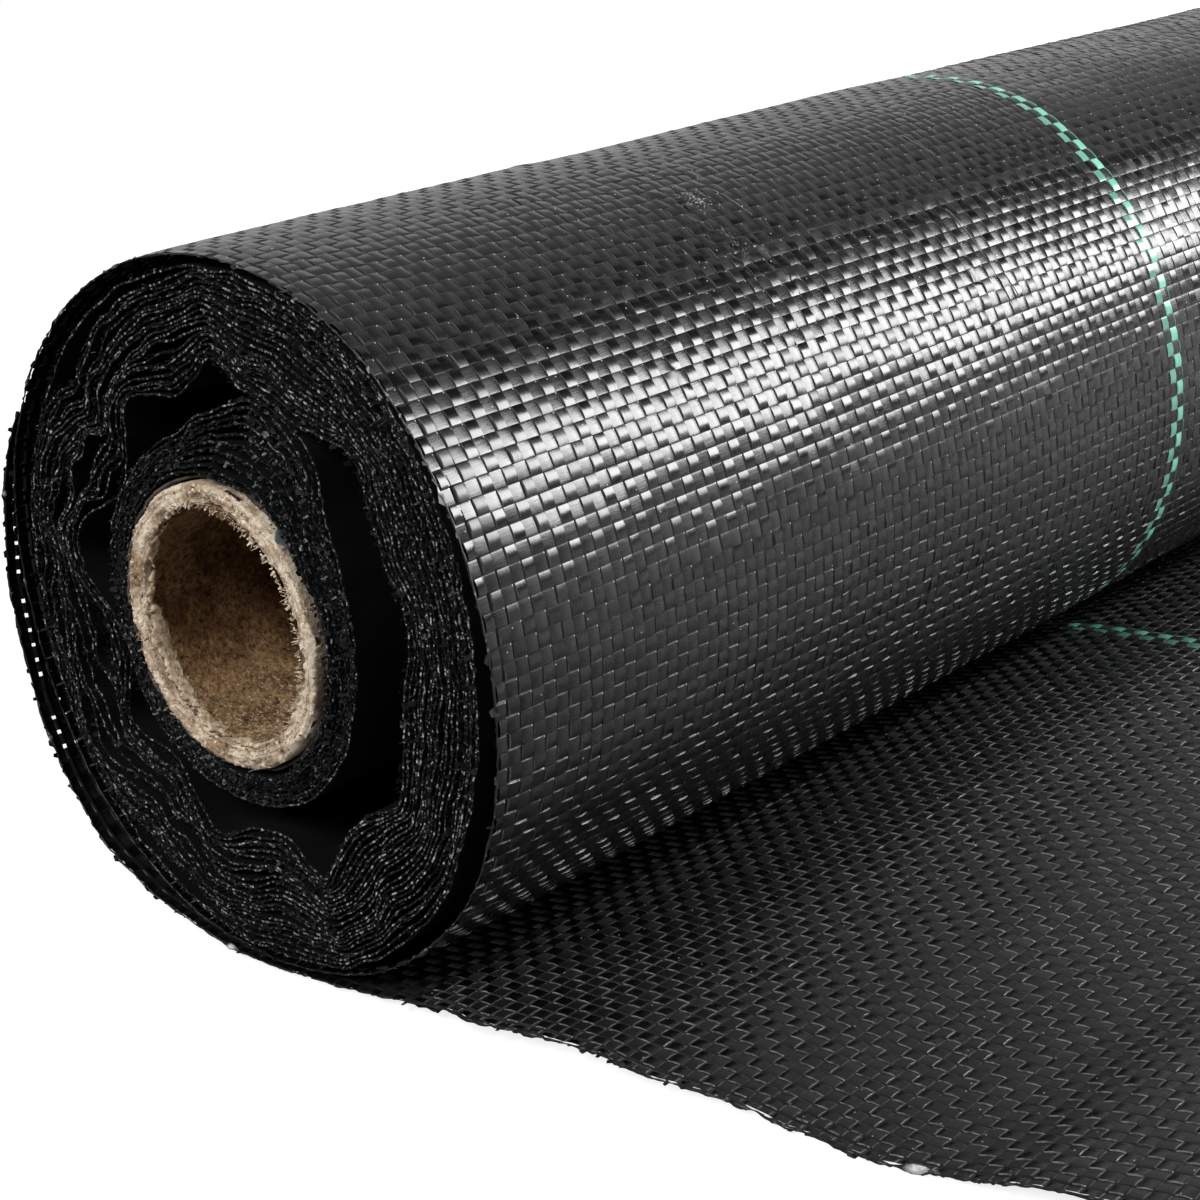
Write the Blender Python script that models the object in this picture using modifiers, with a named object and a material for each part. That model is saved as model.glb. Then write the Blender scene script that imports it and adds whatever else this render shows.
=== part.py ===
"""A roll of woven ground-cover geotextile on a cardboard core, with its free end laid out on the ground.

The roll's axis runs along Y. The near end, at -Y, is the open end of the roll that a user faces. The
web runs from the laid sheet at +X, under the roll, up its far left side, over the top and down the
right, and so on inwards, turn by turn, to a strip of tape on a spiral-wound cardboard core.
Metres, +Z up, the ground at z = 0, and the origin under the middle of the roll and laid sheet together.
"""

import math

import bmesh
import bpy
from mathutils import Matrix

# ---------------------------------------------------------------- driving dimensions
WIDTH = 1.000  # the web, selvedge to selvedge
WEB = 0.0004  # thickness of the woven web
GAP = 0.0003  # clearance between neighbouring solids
TAPE_PITCH = 0.00254  # ten warp tapes to the inch
MARKER_STEP = 0.200  # from the selvedge to the first marker, and from marker to marker
MARKER_TAPES = 2  # green tapes side by side in each marker
BEAD = 0.0008  # the fused bead of a heat-cut selvedge

ROLL_R = 0.0610  # outside of the outermost turn
AXIS_Z = 0.0622  # height of the roll's axis: it rides on the web that passes under it
CORE_BORE_R = 0.01905  # a 38.1 mm core
LINER_R = 0.01975
BODY_IN_R = 0.02005
BODY_OUT_R = 0.02330
SURFACE_IN_R = 0.02360
CORE_OUT_R = 0.02410
CORE_PROUD = 0.0015  # how far the core stands out of the web at each end

START_TAPE_IN_R = 0.02440
START_TAPE_OUT_R = 0.02460
START_TAPE_FROM = 18.0  # degrees round the core, from +X towards +Z
START_TAPE_TO = 78.0
START_TAPE_PROUD = 0.0010

INNER_R = 0.02510  # first tight turn on the core
INNER_TURNS = 7
INNER_PITCH = 0.00080
FOLD_TURNS = 6
FOLD_OUT_R = 0.0488
PACK_R = 0.0500  # first turn of the outer pack
PACK_TURNS = 9
PACK_PITCH = 0.00095
TURN_STEPS = 30  # straight pieces to a turn of the packs
RING_STEPS = 48  # straight pieces round a turned ring

UNDER_TO = 0.030  # the end of the web under the roll, measured from the axis along X
LAID_TO = 0.400
# The slack web on its way down the far left side, as degrees round the axis and the inside radius.
SLACK_ARC = (
    (160.0, 0.0615),
    (170.0, 0.0615),
    (180.0, 0.0616),
    (190.0, 0.0620),
    (200.0, 0.0629),
    (208.0, 0.0642),
    (215.0, 0.0650),
    (222.0, 0.0649),
    (229.0, 0.0642),
    (237.0, 0.0633),
    (245.0, 0.0624),
    (252.0, 0.0618),
    (258.0, 0.0616),
)
# Where it comes down on to the ground: the inside of the web, from the axis along X and from the ground.
TOUCH_DOWN = ((-0.0065, 0.0008), (-0.0020, 0.0004), (0.0297, 0.0004))
LEFT_SIDE = max(-(radius + WEB) * math.cos(math.radians(angle)) for angle, radius in SLACK_ARC)

# The roll's left side and the end of the laid sheet are equally far from the origin.
ROLL_X = (LEFT_SIDE - LAID_TO) / 2.0

# ---------------------------------------------------------------- scene
for old in list(bpy.data.objects):
    bpy.data.objects.remove(old, do_unlink=True)

parts = bpy.data.collections.new("geotextile_roll")
bpy.context.scene.collection.children.link(parts)


def material(name, colour, roughness, metallic=0.0):
    found = bpy.data.materials.new(name)
    found.use_nodes = True
    shader = found.node_tree.nodes["Principled BSDF"]
    shader.inputs["Base Color"].default_value = (*colour, 1.0)
    shader.inputs["Roughness"].default_value = roughness
    shader.inputs["Metallic"].default_value = metallic
    found.diffuse_color = (*colour, 1.0)
    return found


BLACK = (0.028, 0.029, 0.031)
GREEN = (0.36, 0.72, 0.56)


def empty(name, location, parent=None):
    made = bpy.data.objects.new(name, None)
    made.empty_display_size = 0.03
    parts.objects.link(made)
    made.parent = parent
    made.location = location
    return made


# The three bodies: the sheet that stays where it was laid, the web that the roll is standing on, which
# goes along with it, and the roll, which turns about its own axis as it goes.
laid_web = empty("laid_web", (ROLL_X, 0.0, 0.0))
travel = empty("roll_travel", (ROLL_X, 0.0, 0.0))
spin = empty("roll_axis", (0.0, 0.0, AXIS_Z), travel)
spin.rotation_euler = (math.radians(90.0), 0.0, 0.0)  # its local Z is the roll's axis, local Y is up
stand = empty("standing_axis", (0.0, 0.0, AXIS_Z), travel)  # the same, but it goes along without turning
stand.rotation_euler = spin.rotation_euler


def finish(name, data, parent, location, skin):
    made = bpy.data.objects.new(name, data)
    parts.objects.link(made)
    made.parent = parent
    made.location = location
    data.materials.append(skin)
    return made


def ring(name, inner, outer, low, high, skin):
    """A turned ring on the roll's axis, between two world Y positions."""
    half = (high - low) / 2.0
    profile = bmesh.new()
    corners = [
        profile.verts.new(at)
        for at in (
            (outer, 0.0, half),
            (outer, 0.0, -half),
            (inner, 0.0, -half),
            (inner, 0.0, half),
        )
    ]
    for here, there in zip(corners, corners[1:] + corners[:1]):
        profile.edges.new((here, there))
    mesh = bpy.data.meshes.new(name)
    profile.to_mesh(mesh)
    profile.free()
    # Local Z of the axis empty points to -Y, so a ring at world Y sits at -Y along it.
    made = finish(name, mesh, spin, (0.0, 0.0, -(low + high) / 2.0), skin)
    screw = made.modifiers.new("turn", "SCREW")
    screw.axis = "Z"
    screw.angle = math.tau
    screw.steps = screw.render_steps = RING_STEPS
    screw.use_merge_vertices = True
    screw.merge_threshold = 0.00001
    screw.use_smooth_shade = True
    return made


def flat_outline(name, points, low, high, skin, parent=spin):
    """A flat outline in the plane of the roll's end, extruded between two world Y positions."""
    curve = bpy.data.curves.new(name, "CURVE")
    curve.dimensions = "2D"
    curve.fill_mode = "BOTH"
    curve.extrude = (high - low) / 2.0
    spline = curve.splines.new("POLY")
    spline.points.add(len(points) - 1)
    for point, (x, y) in zip(spline.points, points):
        point.co = (x, y, 0.0, 1.0)
    spline.use_cyclic_u = True
    return finish(name, curve, parent, (0.0, 0.0, -(low + high) / 2.0), skin)


def wound(name, radius_at, turns, low, high, skin):
    """The web wound on itself: radius_at gives the inside of the web at a number of turns."""
    steps = TURN_STEPS * turns
    inside, outside = [], []
    for step in range(steps + 1):
        turn = step / TURN_STEPS
        angle = math.tau * turn
        radius = radius_at(turn)
        inside.append((radius * math.cos(angle), radius * math.sin(angle)))
        radius += WEB
        outside.append((radius * math.cos(angle), radius * math.sin(angle)))
    return flat_outline(name, inside + outside[::-1], low, high, skin)


def slab(name, x_low, x_high, y_low, y_high, z_low, z_high, parent, skin):
    """A flat piece of web lying on the ground, with x measured from the roll's axis."""
    shape = bmesh.new()
    bmesh.ops.create_cube(shape, size=1.0)
    size = (x_high - x_low, y_high - y_low, z_high - z_low)
    bmesh.ops.transform(shape, matrix=Matrix.Diagonal((*size, 1.0)), verts=shape.verts)
    mesh = bpy.data.meshes.new(name)
    shape.to_mesh(mesh)
    shape.free()
    middle = (
        (x_low + x_high) / 2.0,
        (y_low + y_high) / 2.0,
        (z_low + z_high) / 2.0,
    )
    return finish(name, mesh, parent, middle, skin)


def bead(name, x_low, x_high, y_middle, parent, skin):
    """The fused selvedge of the laid sheet, a thin bar along X on the ground."""
    shape = bmesh.new()
    bmesh.ops.create_cone(
        shape,
        cap_ends=True,
        cap_tris=False,
        segments=8,
        radius1=BEAD / 2.0,
        radius2=BEAD / 2.0,
        depth=x_high - x_low,
    )
    bmesh.ops.transform(
        shape,
        matrix=Matrix.Rotation(math.radians(90.0), 4, "Y")
        @ Matrix.Rotation(math.radians(22.5), 4, "Z"),
        verts=shape.verts,
    )
    mesh = bpy.data.meshes.new(name)
    shape.to_mesh(mesh)
    shape.free()
    lift = BEAD / 2.0 * math.cos(math.radians(22.5))
    return finish(name, mesh, parent, ((x_low + x_high) / 2.0, y_middle, lift), skin)


# ---------------------------------------------------------------- the core
kraft = material("kraft_liner", (0.205, 0.128, 0.078), 0.85)
board = material("core_board", (0.640, 0.520, 0.390), 0.92)
grey_ply = material("core_surface", (0.420, 0.385, 0.370), 0.85)
clear_tape = material("start_tape", (0.360, 0.420, 0.450), 0.35)
HALF_CORE = WIDTH / 2.0 + CORE_PROUD

ring("core_liner_ply", CORE_BORE_R, LINER_R, -HALF_CORE, HALF_CORE, kraft)
ring("core_body_plies", BODY_IN_R, BODY_OUT_R, -HALF_CORE, HALF_CORE, board)
ring("core_surface_ply", SURFACE_IN_R, CORE_OUT_R, -HALF_CORE, HALF_CORE, grey_ply)

# The strip of tape that holds the web's inner end to the core. It sticks out of the near end a little.
arc_in, arc_out = [], []
ARC_STEPS = 8
for step in range(ARC_STEPS + 1):
    share = step / ARC_STEPS
    angle = math.radians(START_TAPE_FROM + (START_TAPE_TO - START_TAPE_FROM) * share)
    arc_in.append((START_TAPE_IN_R * math.cos(angle), START_TAPE_IN_R * math.sin(angle)))
    arc_out.append((START_TAPE_OUT_R * math.cos(angle), START_TAPE_OUT_R * math.sin(angle)))
flat_outline(
    "start_tape",
    arc_in + arc_out[::-1],
    -WIDTH / 2.0 - START_TAPE_PROUD,
    WIDTH / 2.0,
    clear_tape,
)

# ---------------------------------------------------------------- the web wound on the core
inner_black = material("web_inner", (0.022, 0.026, 0.024), 0.45)
fold_black = material("web_folded", (0.024, 0.024, 0.026), 0.42)
pack_black = material("web_outer", (0.026, 0.027, 0.029), 0.40)
HALF_WEB = WIDTH / 2.0 - BEAD - GAP


def inner_radius(turn):
    return INNER_R + INNER_PITCH * turn


def fold_radius(turn):
    """The slack turns. They bulge away from the core to the right and at the top, and leave gaps there."""
    angle = math.tau * turn
    inside = (
        0.0385
        + 0.0036 * math.cos(angle - math.radians(20.0))
        + 0.0014 * math.cos(2.0 * angle - math.radians(200.0))
        + 0.0013 * math.cos(5.0 * angle - math.radians(60.0))
    )
    return inside + (FOLD_OUT_R - WEB - inside) * turn / FOLD_TURNS


def pack_radius(turn):
    return PACK_R + PACK_PITCH * turn


wound("inner_turns", inner_radius, INNER_TURNS, -HALF_WEB, HALF_WEB, inner_black)
wound("slack_turns", fold_radius, FOLD_TURNS, -HALF_WEB, HALF_WEB, fold_black)
wound("outer_turns", pack_radius, PACK_TURNS, -HALF_WEB, HALF_WEB, pack_black)

# ---------------------------------------------------------------- black tapes and marker tapes
tape_black = material("web_black_tapes", BLACK, 0.33)
tape_green = material("web_marker_tapes", GREEN, 0.40)
melted = material("fused_selvedge", (0.016, 0.016, 0.018), 0.28)

MARKER_HALF = MARKER_TAPES * TAPE_PITCH / 2.0
markers = []
middle = -WIDTH / 2.0 + MARKER_STEP
while middle < WIDTH / 2.0 - MARKER_STEP / 2.0:
    markers.append(middle)
    middle += MARKER_STEP

edges = [-HALF_WEB]
for middle in markers:
    edges += [middle - MARKER_HALF - GAP, middle + MARKER_HALF + GAP]
edges.append(HALF_WEB)

for number in range(len(markers) + 1):
    low, high = edges[2 * number], edges[2 * number + 1]
    ring(f"wrap_panel_{number + 1}", ROLL_R - WEB, ROLL_R, low, high, tape_black)
    slab(f"laid_panel_{number + 1}", UNDER_TO, LAID_TO, low, high, 0.0, WEB, laid_web, tape_black)

for number, middle in enumerate(markers, 1):
    low, high = middle - MARKER_HALF, middle + MARKER_HALF
    ring(f"wrap_marker_{number}", ROLL_R - WEB, ROLL_R, low, high, tape_green)
    slab(f"laid_marker_{number}", UNDER_TO, LAID_TO, low, high, 0.0, WEB, laid_web, tape_green)

for side, sign in (("near", -1.0), ("far", 1.0)):
    low, high = sorted((sign * WIDTH / 2.0, sign * (WIDTH / 2.0 - BEAD)))
    ring(f"wrap_selvedge_{side}", ROLL_R - 0.0006, ROLL_R + 0.0002, low, high, melted)
    bead(f"laid_selvedge_{side}", UNDER_TO, LAID_TO, (low + high) / 2.0, laid_web, melted)

# The web that the roll stands on: slack down the far left side, then flat under the roll to where the
# laid sheet begins. It goes along with the roll and doesn't turn.
under_in, under_out = [], []
for angle, radius in SLACK_ARC:
    way = (math.cos(math.radians(angle)), math.sin(math.radians(angle)))
    under_in.append((radius * way[0], radius * way[1]))
    under_out.append(((radius + WEB) * way[0], (radius + WEB) * way[1]))
for x, height in TOUCH_DOWN:
    under_in.append((x, height - AXIS_Z))
    under_out.append((x, height - WEB - AXIS_Z))
flat_outline("web_under_roll", under_in + under_out[::-1], -HALF_WEB, HALF_WEB, tape_black, stand)

for piece in parts.objects:
    if piece.type == "CURVE":
        for spline in piece.data.splines:
            spline.use_smooth = False
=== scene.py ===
"""Visual model of a part-used roll of woven ground-cover geotextile lying on its own laid-out free end.

The web is one plain-woven sheet of flat tapes. u counts warp tapes from the near selvedge, along Y, and
v counts weft tapes along the web's length, so a cell of the weave is one step of u by one step of v.
Metres throughout, in the frame of the solid model.
"""
import math

import bpy
import numpy as np
from mathutils import Matrix, Vector


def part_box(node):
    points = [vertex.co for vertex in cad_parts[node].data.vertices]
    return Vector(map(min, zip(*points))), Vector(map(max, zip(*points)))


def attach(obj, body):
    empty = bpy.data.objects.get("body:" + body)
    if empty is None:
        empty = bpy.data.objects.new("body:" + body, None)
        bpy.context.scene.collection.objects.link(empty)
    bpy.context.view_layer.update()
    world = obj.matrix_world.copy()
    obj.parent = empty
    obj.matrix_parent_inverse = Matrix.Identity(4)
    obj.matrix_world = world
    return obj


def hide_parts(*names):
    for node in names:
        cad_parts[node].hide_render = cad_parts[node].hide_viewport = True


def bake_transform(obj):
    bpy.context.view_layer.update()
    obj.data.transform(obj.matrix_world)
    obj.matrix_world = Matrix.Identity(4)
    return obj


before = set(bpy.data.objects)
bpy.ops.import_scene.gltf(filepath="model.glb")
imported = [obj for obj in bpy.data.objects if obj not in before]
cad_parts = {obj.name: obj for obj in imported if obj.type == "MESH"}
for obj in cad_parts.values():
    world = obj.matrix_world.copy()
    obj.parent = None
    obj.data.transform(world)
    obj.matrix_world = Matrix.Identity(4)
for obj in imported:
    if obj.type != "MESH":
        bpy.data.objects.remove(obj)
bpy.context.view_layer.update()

MM = 0.001

core_low, core_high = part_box("core_liner_ply")
RX = (core_low[0] + core_high[0]) / 2.0  # the roll's axis
RZ = (core_low[2] + core_high[2]) / 2.0
HALF = 0.4992  # the web reaches this far from the middle before its fused edge
WEFT = 0.00277  # weft pitch of the web where it lies flat
RELIEF = 0.00015  # how far a tape stands up where it passes over another

scene = bpy.context.scene


# ---------------------------------------------------------------- repeatable noise
def rnd(*keys):
    total = 0.0
    for key, factor in zip(keys, (12.9898, 78.233, 37.719, 93.989)):
        total = total + np.asarray(key, float) * factor
    total = np.sin(total) * 43758.5453
    return total - np.floor(total)


def fade(x):
    low = np.floor(x)
    part = x - low
    return low, part * part * (3.0 - 2.0 * part)


def noise1(x, seed=0.0):
    i, f = fade(np.asarray(x, float))
    return (rnd(i, seed) * (1 - f) + rnd(i + 1, seed) * f) * 2.0 - 1.0


def noise2(x, y, seed=0.0):
    i, f = fade(np.asarray(x, float))
    j, g = fade(np.asarray(y, float))
    low = rnd(i, j, seed) * (1 - f) + rnd(i + 1, j, seed) * f
    high = rnd(i, j + 1, seed) * (1 - f) + rnd(i + 1, j + 1, seed) * f
    return (low * (1 - g) + high * g) * 2.0 - 1.0


def noise3(x, y, z, seed=0.0):
    k, h = fade(np.asarray(z, float))
    return noise2(x, y, seed + 7.31 * k) * (1 - h) + noise2(x, y, seed + 7.31 * (k + 1)) * h


def bump(x, middle, width):
    return np.exp(-(((x - middle) / width) ** 2))


def ramp(x, low, high):
    t = np.clip((x - low) / (high - low), 0.0, 1.0)
    return t * t * (3.0 - 2.0 * t)


# ---------------------------------------------------------------- section curves
def ring_profile(points, blur):
    """A closed profile from (degrees, millimetres) points, smoothed over blur degrees."""
    grid = np.arange(0.0, 360.0, 0.25)
    degrees, radii = np.array(sorted(points), float).T
    radii = np.interp(grid, degrees, radii, period=360.0)
    half = int(16 * blur)
    kernel = np.exp(-0.5 * (np.arange(-half, half + 1) * 0.25 / blur) ** 2)
    kernel /= kernel.sum()
    padded = np.concatenate([radii[-half:], radii, radii[:half]])
    return np.convolve(padded, kernel, mode="valid") * MM


def on_ring(profile, degrees):
    grid = np.arange(0.0, 360.0, 0.25)
    return np.interp(np.asarray(degrees, float) % 360.0, grid, profile, period=360.0)


# The outermost turn. On the far left it goes in under the slack web that comes down to the ground.
SKIN = ring_profile(
    [(0, 59.7), (20, 60.2), (35, 60.9), (50, 61.5), (66, 61.4), (90, 60.4), (110, 59.3), (130, 58.5),
     (146, 58.1), (160, 57.2), (175, 56.3), (190, 56.3), (205, 57.0), (220, 58.2), (235, 59.0), (250, 59.6),
     (270, 59.9), (290, 60.9), (304, 61.6), (317, 61.6), (333, 61.1), (348, 60.1)], 4.0)
# The same turn away from the near end, where it has settled closer to round.
SKIN_INSIDE = ring_profile(
    [(0, 60.2), (15, 59.8), (30, 60.0), (45, 60.6), (60, 61.1), (75, 61.0), (90, 60.3), (105, 59.7), (125, 59.0),
     (146, 58.2), (160, 57.4), (175, 56.6), (190, 56.5), (205, 57.2), (220, 58.2), (240, 59.1), (270, 60.1),
     (285, 61.0), (300, 62.3), (315, 62.8), (330, 62.2), (345, 61.1)], 4.0)
# The outside of the pack of tight turns round the core.
TIGHT = ring_profile(
    [(0, 29.5), (15, 30.0), (30, 32.0), (40, 34.5), (48, 37.5), (56, 39.8), (66, 40.1), (73, 39.8),
     (81, 36.4), (90, 34.0), (97, 32.4), (105, 31.2), (121, 31.3), (135, 30.8), (150, 30.8), (165, 30.4),
     (180, 30.2), (195, 30.2), (210, 31.2), (225, 31.6), (240, 31.2), (255, 31.0), (270, 31.2), (285, 31.0),
     (300, 30.5), (315, 30.0), (330, 29.5), (345, 29.3)], 2.0)
# The inside of the slack turns, with the hollows between them and the tight ones.
SLACK = ring_profile(
    [(0, 41.4), (7, 42.5), (18, 41.2), (30, 43.2), (37, 45.6), (42, 46.0), (48, 43.5), (56, 41.0),
     (66, 40.6), (73, 41.0), (79, 43.4), (83, 44.6), (88, 41.3), (97, 37.8), (106, 38.8), (115, 40.6),
     (121, 38.0), (127, 34.0), (134, 31.6), (142, 31.4), (147, 33.0), (155, 37.0), (160, 39.5), (166, 40.8),
     (172, 38.5), (178, 35.5), (184, 32.5), (190, 31.5), (197, 31.3), (204, 34.0), (210, 38.0), (216, 39.5),
     (222, 37.0), (228, 34.5), (235, 34.6), (241, 37.9), (250, 41.8), (256, 39.0), (263, 36.6), (273, 36.1),
     (280, 38.4), (285, 45.0), (291, 42.7), (302, 38.8), (314, 38.8), (321, 42.8), (326, 42.0), (335, 40.6),
     (350, 39.1)], 1.6)
# The outside of the outer pack. The outermost turn stands off it on the right and on the left.
PACK = ring_profile(
    [(0, 55.4), (10, 56.0), (20, 57.0), (30, 58.0), (40, 58.9), (50, 59.4), (60, 59.6), (75, 59.0),
     (90, 58.2), (105, 56.6), (120, 55.2), (135, 53.9), (150, 52.9), (165, 52.2), (180, 52.3), (195, 53.0),
     (210, 54.8), (225, 56.6), (240, 57.8), (255, 58.4), (270, 58.7), (285, 59.2), (300, 58.5), (310, 57.8),
     (320, 56.8), (330, 55.9), (345, 55.1)], 3.0)


OVAL = (0.968, 1.033)  # the core is pressed a little out of round, narrower than it is tall


def oval(angle):
    return 1.0 / np.hypot(np.cos(angle) / OVAL[0], np.sin(angle) / OVAL[1])


class Path:
    """A smooth open curve in the plane of the roll's end, followed by its arc length."""

    def __init__(self, points):
        knots = np.array(points, float)
        knots = np.vstack([2 * knots[0] - knots[1], knots, 2 * knots[-1] - knots[-2]])
        t = np.linspace(0.0, 1.0, 40, endpoint=False)[:, None]
        pieces = []
        for a, b, c, d in zip(knots, knots[1:], knots[2:], knots[3:]):
            pieces.append(0.5 * (2 * b + (c - a) * t + (2 * a - 5 * b + 4 * c - d) * t**2 + (3 * b - a - 3 * c + d) * t**3))
        pieces.append(knots[-2][None, :])
        line = np.vstack(pieces)
        step = np.hypot(*np.diff(line, axis=0).T)
        at = np.concatenate([[0.0], np.cumsum(step)])
        self.length = at[-1]
        self.s = np.linspace(0.0, self.length, 1500)
        self.x = np.interp(self.s, at, line[:, 0])
        self.z = np.interp(self.s, at, line[:, 1])
        dx, dz = np.gradient(self.x, self.s), np.gradient(self.z, self.s)
        size = np.hypot(dx, dz)
        self.nx, self.nz = dz / size, -dx / size  # to the right of the way along, which is outwards

    def at(self, s):
        return tuple(np.interp(s, self.s, part) for part in (self.x, self.z, self.nx, self.nz))


# ---------------------------------------------------------------- meshes
def make_mesh(name, verts, quads, uvs=None, flat=None, material=None, smooth=True, floats=None):
    """A mesh from arrays: verts (n, 3), quads (m, 4), uvs (m, 4, 2) and flat (m,)."""
    verts = np.ascontiguousarray(verts, np.float32).reshape(-1, 3)
    quads = np.ascontiguousarray(quads, np.int32).reshape(-1, 4)
    mesh = bpy.data.meshes.new(name)
    mesh.vertices.add(len(verts))
    mesh.vertices.foreach_set("co", verts.ravel())
    mesh.loops.add(quads.size)
    mesh.loops.foreach_set("vertex_index", quads.ravel())
    mesh.polygons.add(len(quads))
    mesh.polygons.foreach_set("loop_start", np.arange(0, quads.size, 4, dtype=np.int32))
    if uvs is not None:
        layer = mesh.uv_layers.new(name="weave")
        layer.data.foreach_set("uv", np.ascontiguousarray(uvs, np.float32).ravel())
    mesh.update(calc_edges=True)
    flags = np.full(len(quads), smooth)
    if flat is not None:
        flags &= ~np.asarray(flat, bool).ravel()
    mesh.polygons.foreach_set("use_smooth", flags)
    if flat is not None:
        # The sides and gaps must not bend the shading of the tapes' faces beside them.
        edges = np.empty(quads.size, np.int32)
        mesh.loops.foreach_get("edge_index", edges)
        sharp = np.zeros(len(mesh.edges), bool)
        sharp[edges.reshape(-1, 4)[~flags].ravel()] = True
        mesh.attributes.new("sharp_edge", "BOOLEAN", "EDGE").data.foreach_set("value", sharp)
    for key, values in (floats or {}).items():
        attribute = mesh.attributes.new(key, "FLOAT", "POINT")
        attribute.data.foreach_set("value", np.ascontiguousarray(values, np.float32).ravel())
    if material is not None:
        mesh.materials.append(material)
    mesh.validate()
    made = bpy.data.objects.new(name, mesh)
    scene.collection.objects.link(made)
    return made


def grid_quads(rows, columns, wrap=False):
    """Quads of a grid of vertices, rows by columns; wrap joins the last column to the first."""
    index = np.arange(rows * columns).reshape(rows, columns)
    right = np.roll(index, -1, axis=1) if wrap else index[:, 1:]
    left = index if wrap else index[:, :-1]
    return np.stack([left[:-1], left[1:], right[1:], right[:-1]], axis=-1)


# Warp tapes are counted from the near selvedge. Every 200 mm, two of them are green.
U_AT = np.array([0, 77, 79, 156, 158, 235, 237, 314, 316, 393], float)
Y_AT = np.array([-HALF, -0.30254, -0.29746, -0.10254, -0.09746, 0.09746, 0.10254, 0.29746, 0.30254, HALF])
TAPES = 393


def y_of(u):
    return np.interp(u, U_AT, Y_AT)


def edge_of(u):
    """How near a warp tape is to a selvedge, in tapes."""
    return np.minimum(u, TAPES - u)


def side_gap(tape, v, seed):
    """Half the gap beside a warp tape, as a share of its pitch."""
    gap = 0.066 + 0.036 * rnd(tape, seed) + 0.020 * noise2(v / 11.0, tape * 1.7, seed)
    narrow = rnd(tape, seed + 3.0) > 0.965
    gap = gap + np.where(narrow, 0.07, 0.0)
    return gap + 0.10 * ramp(-edge_of(tape + 0.5), -2.4, -0.6)


def weft_gap(row, u, seed):
    gap = 0.032 + 0.022 * rnd(row, seed + 11.0) + 0.014 * noise2(u / 9.0, row * 2.3, seed)
    return gap + 0.115 * ramp(-edge_of(u), -3.2, -0.3) * (0.55 + 0.45 * rnd(row, 4.2))


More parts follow.
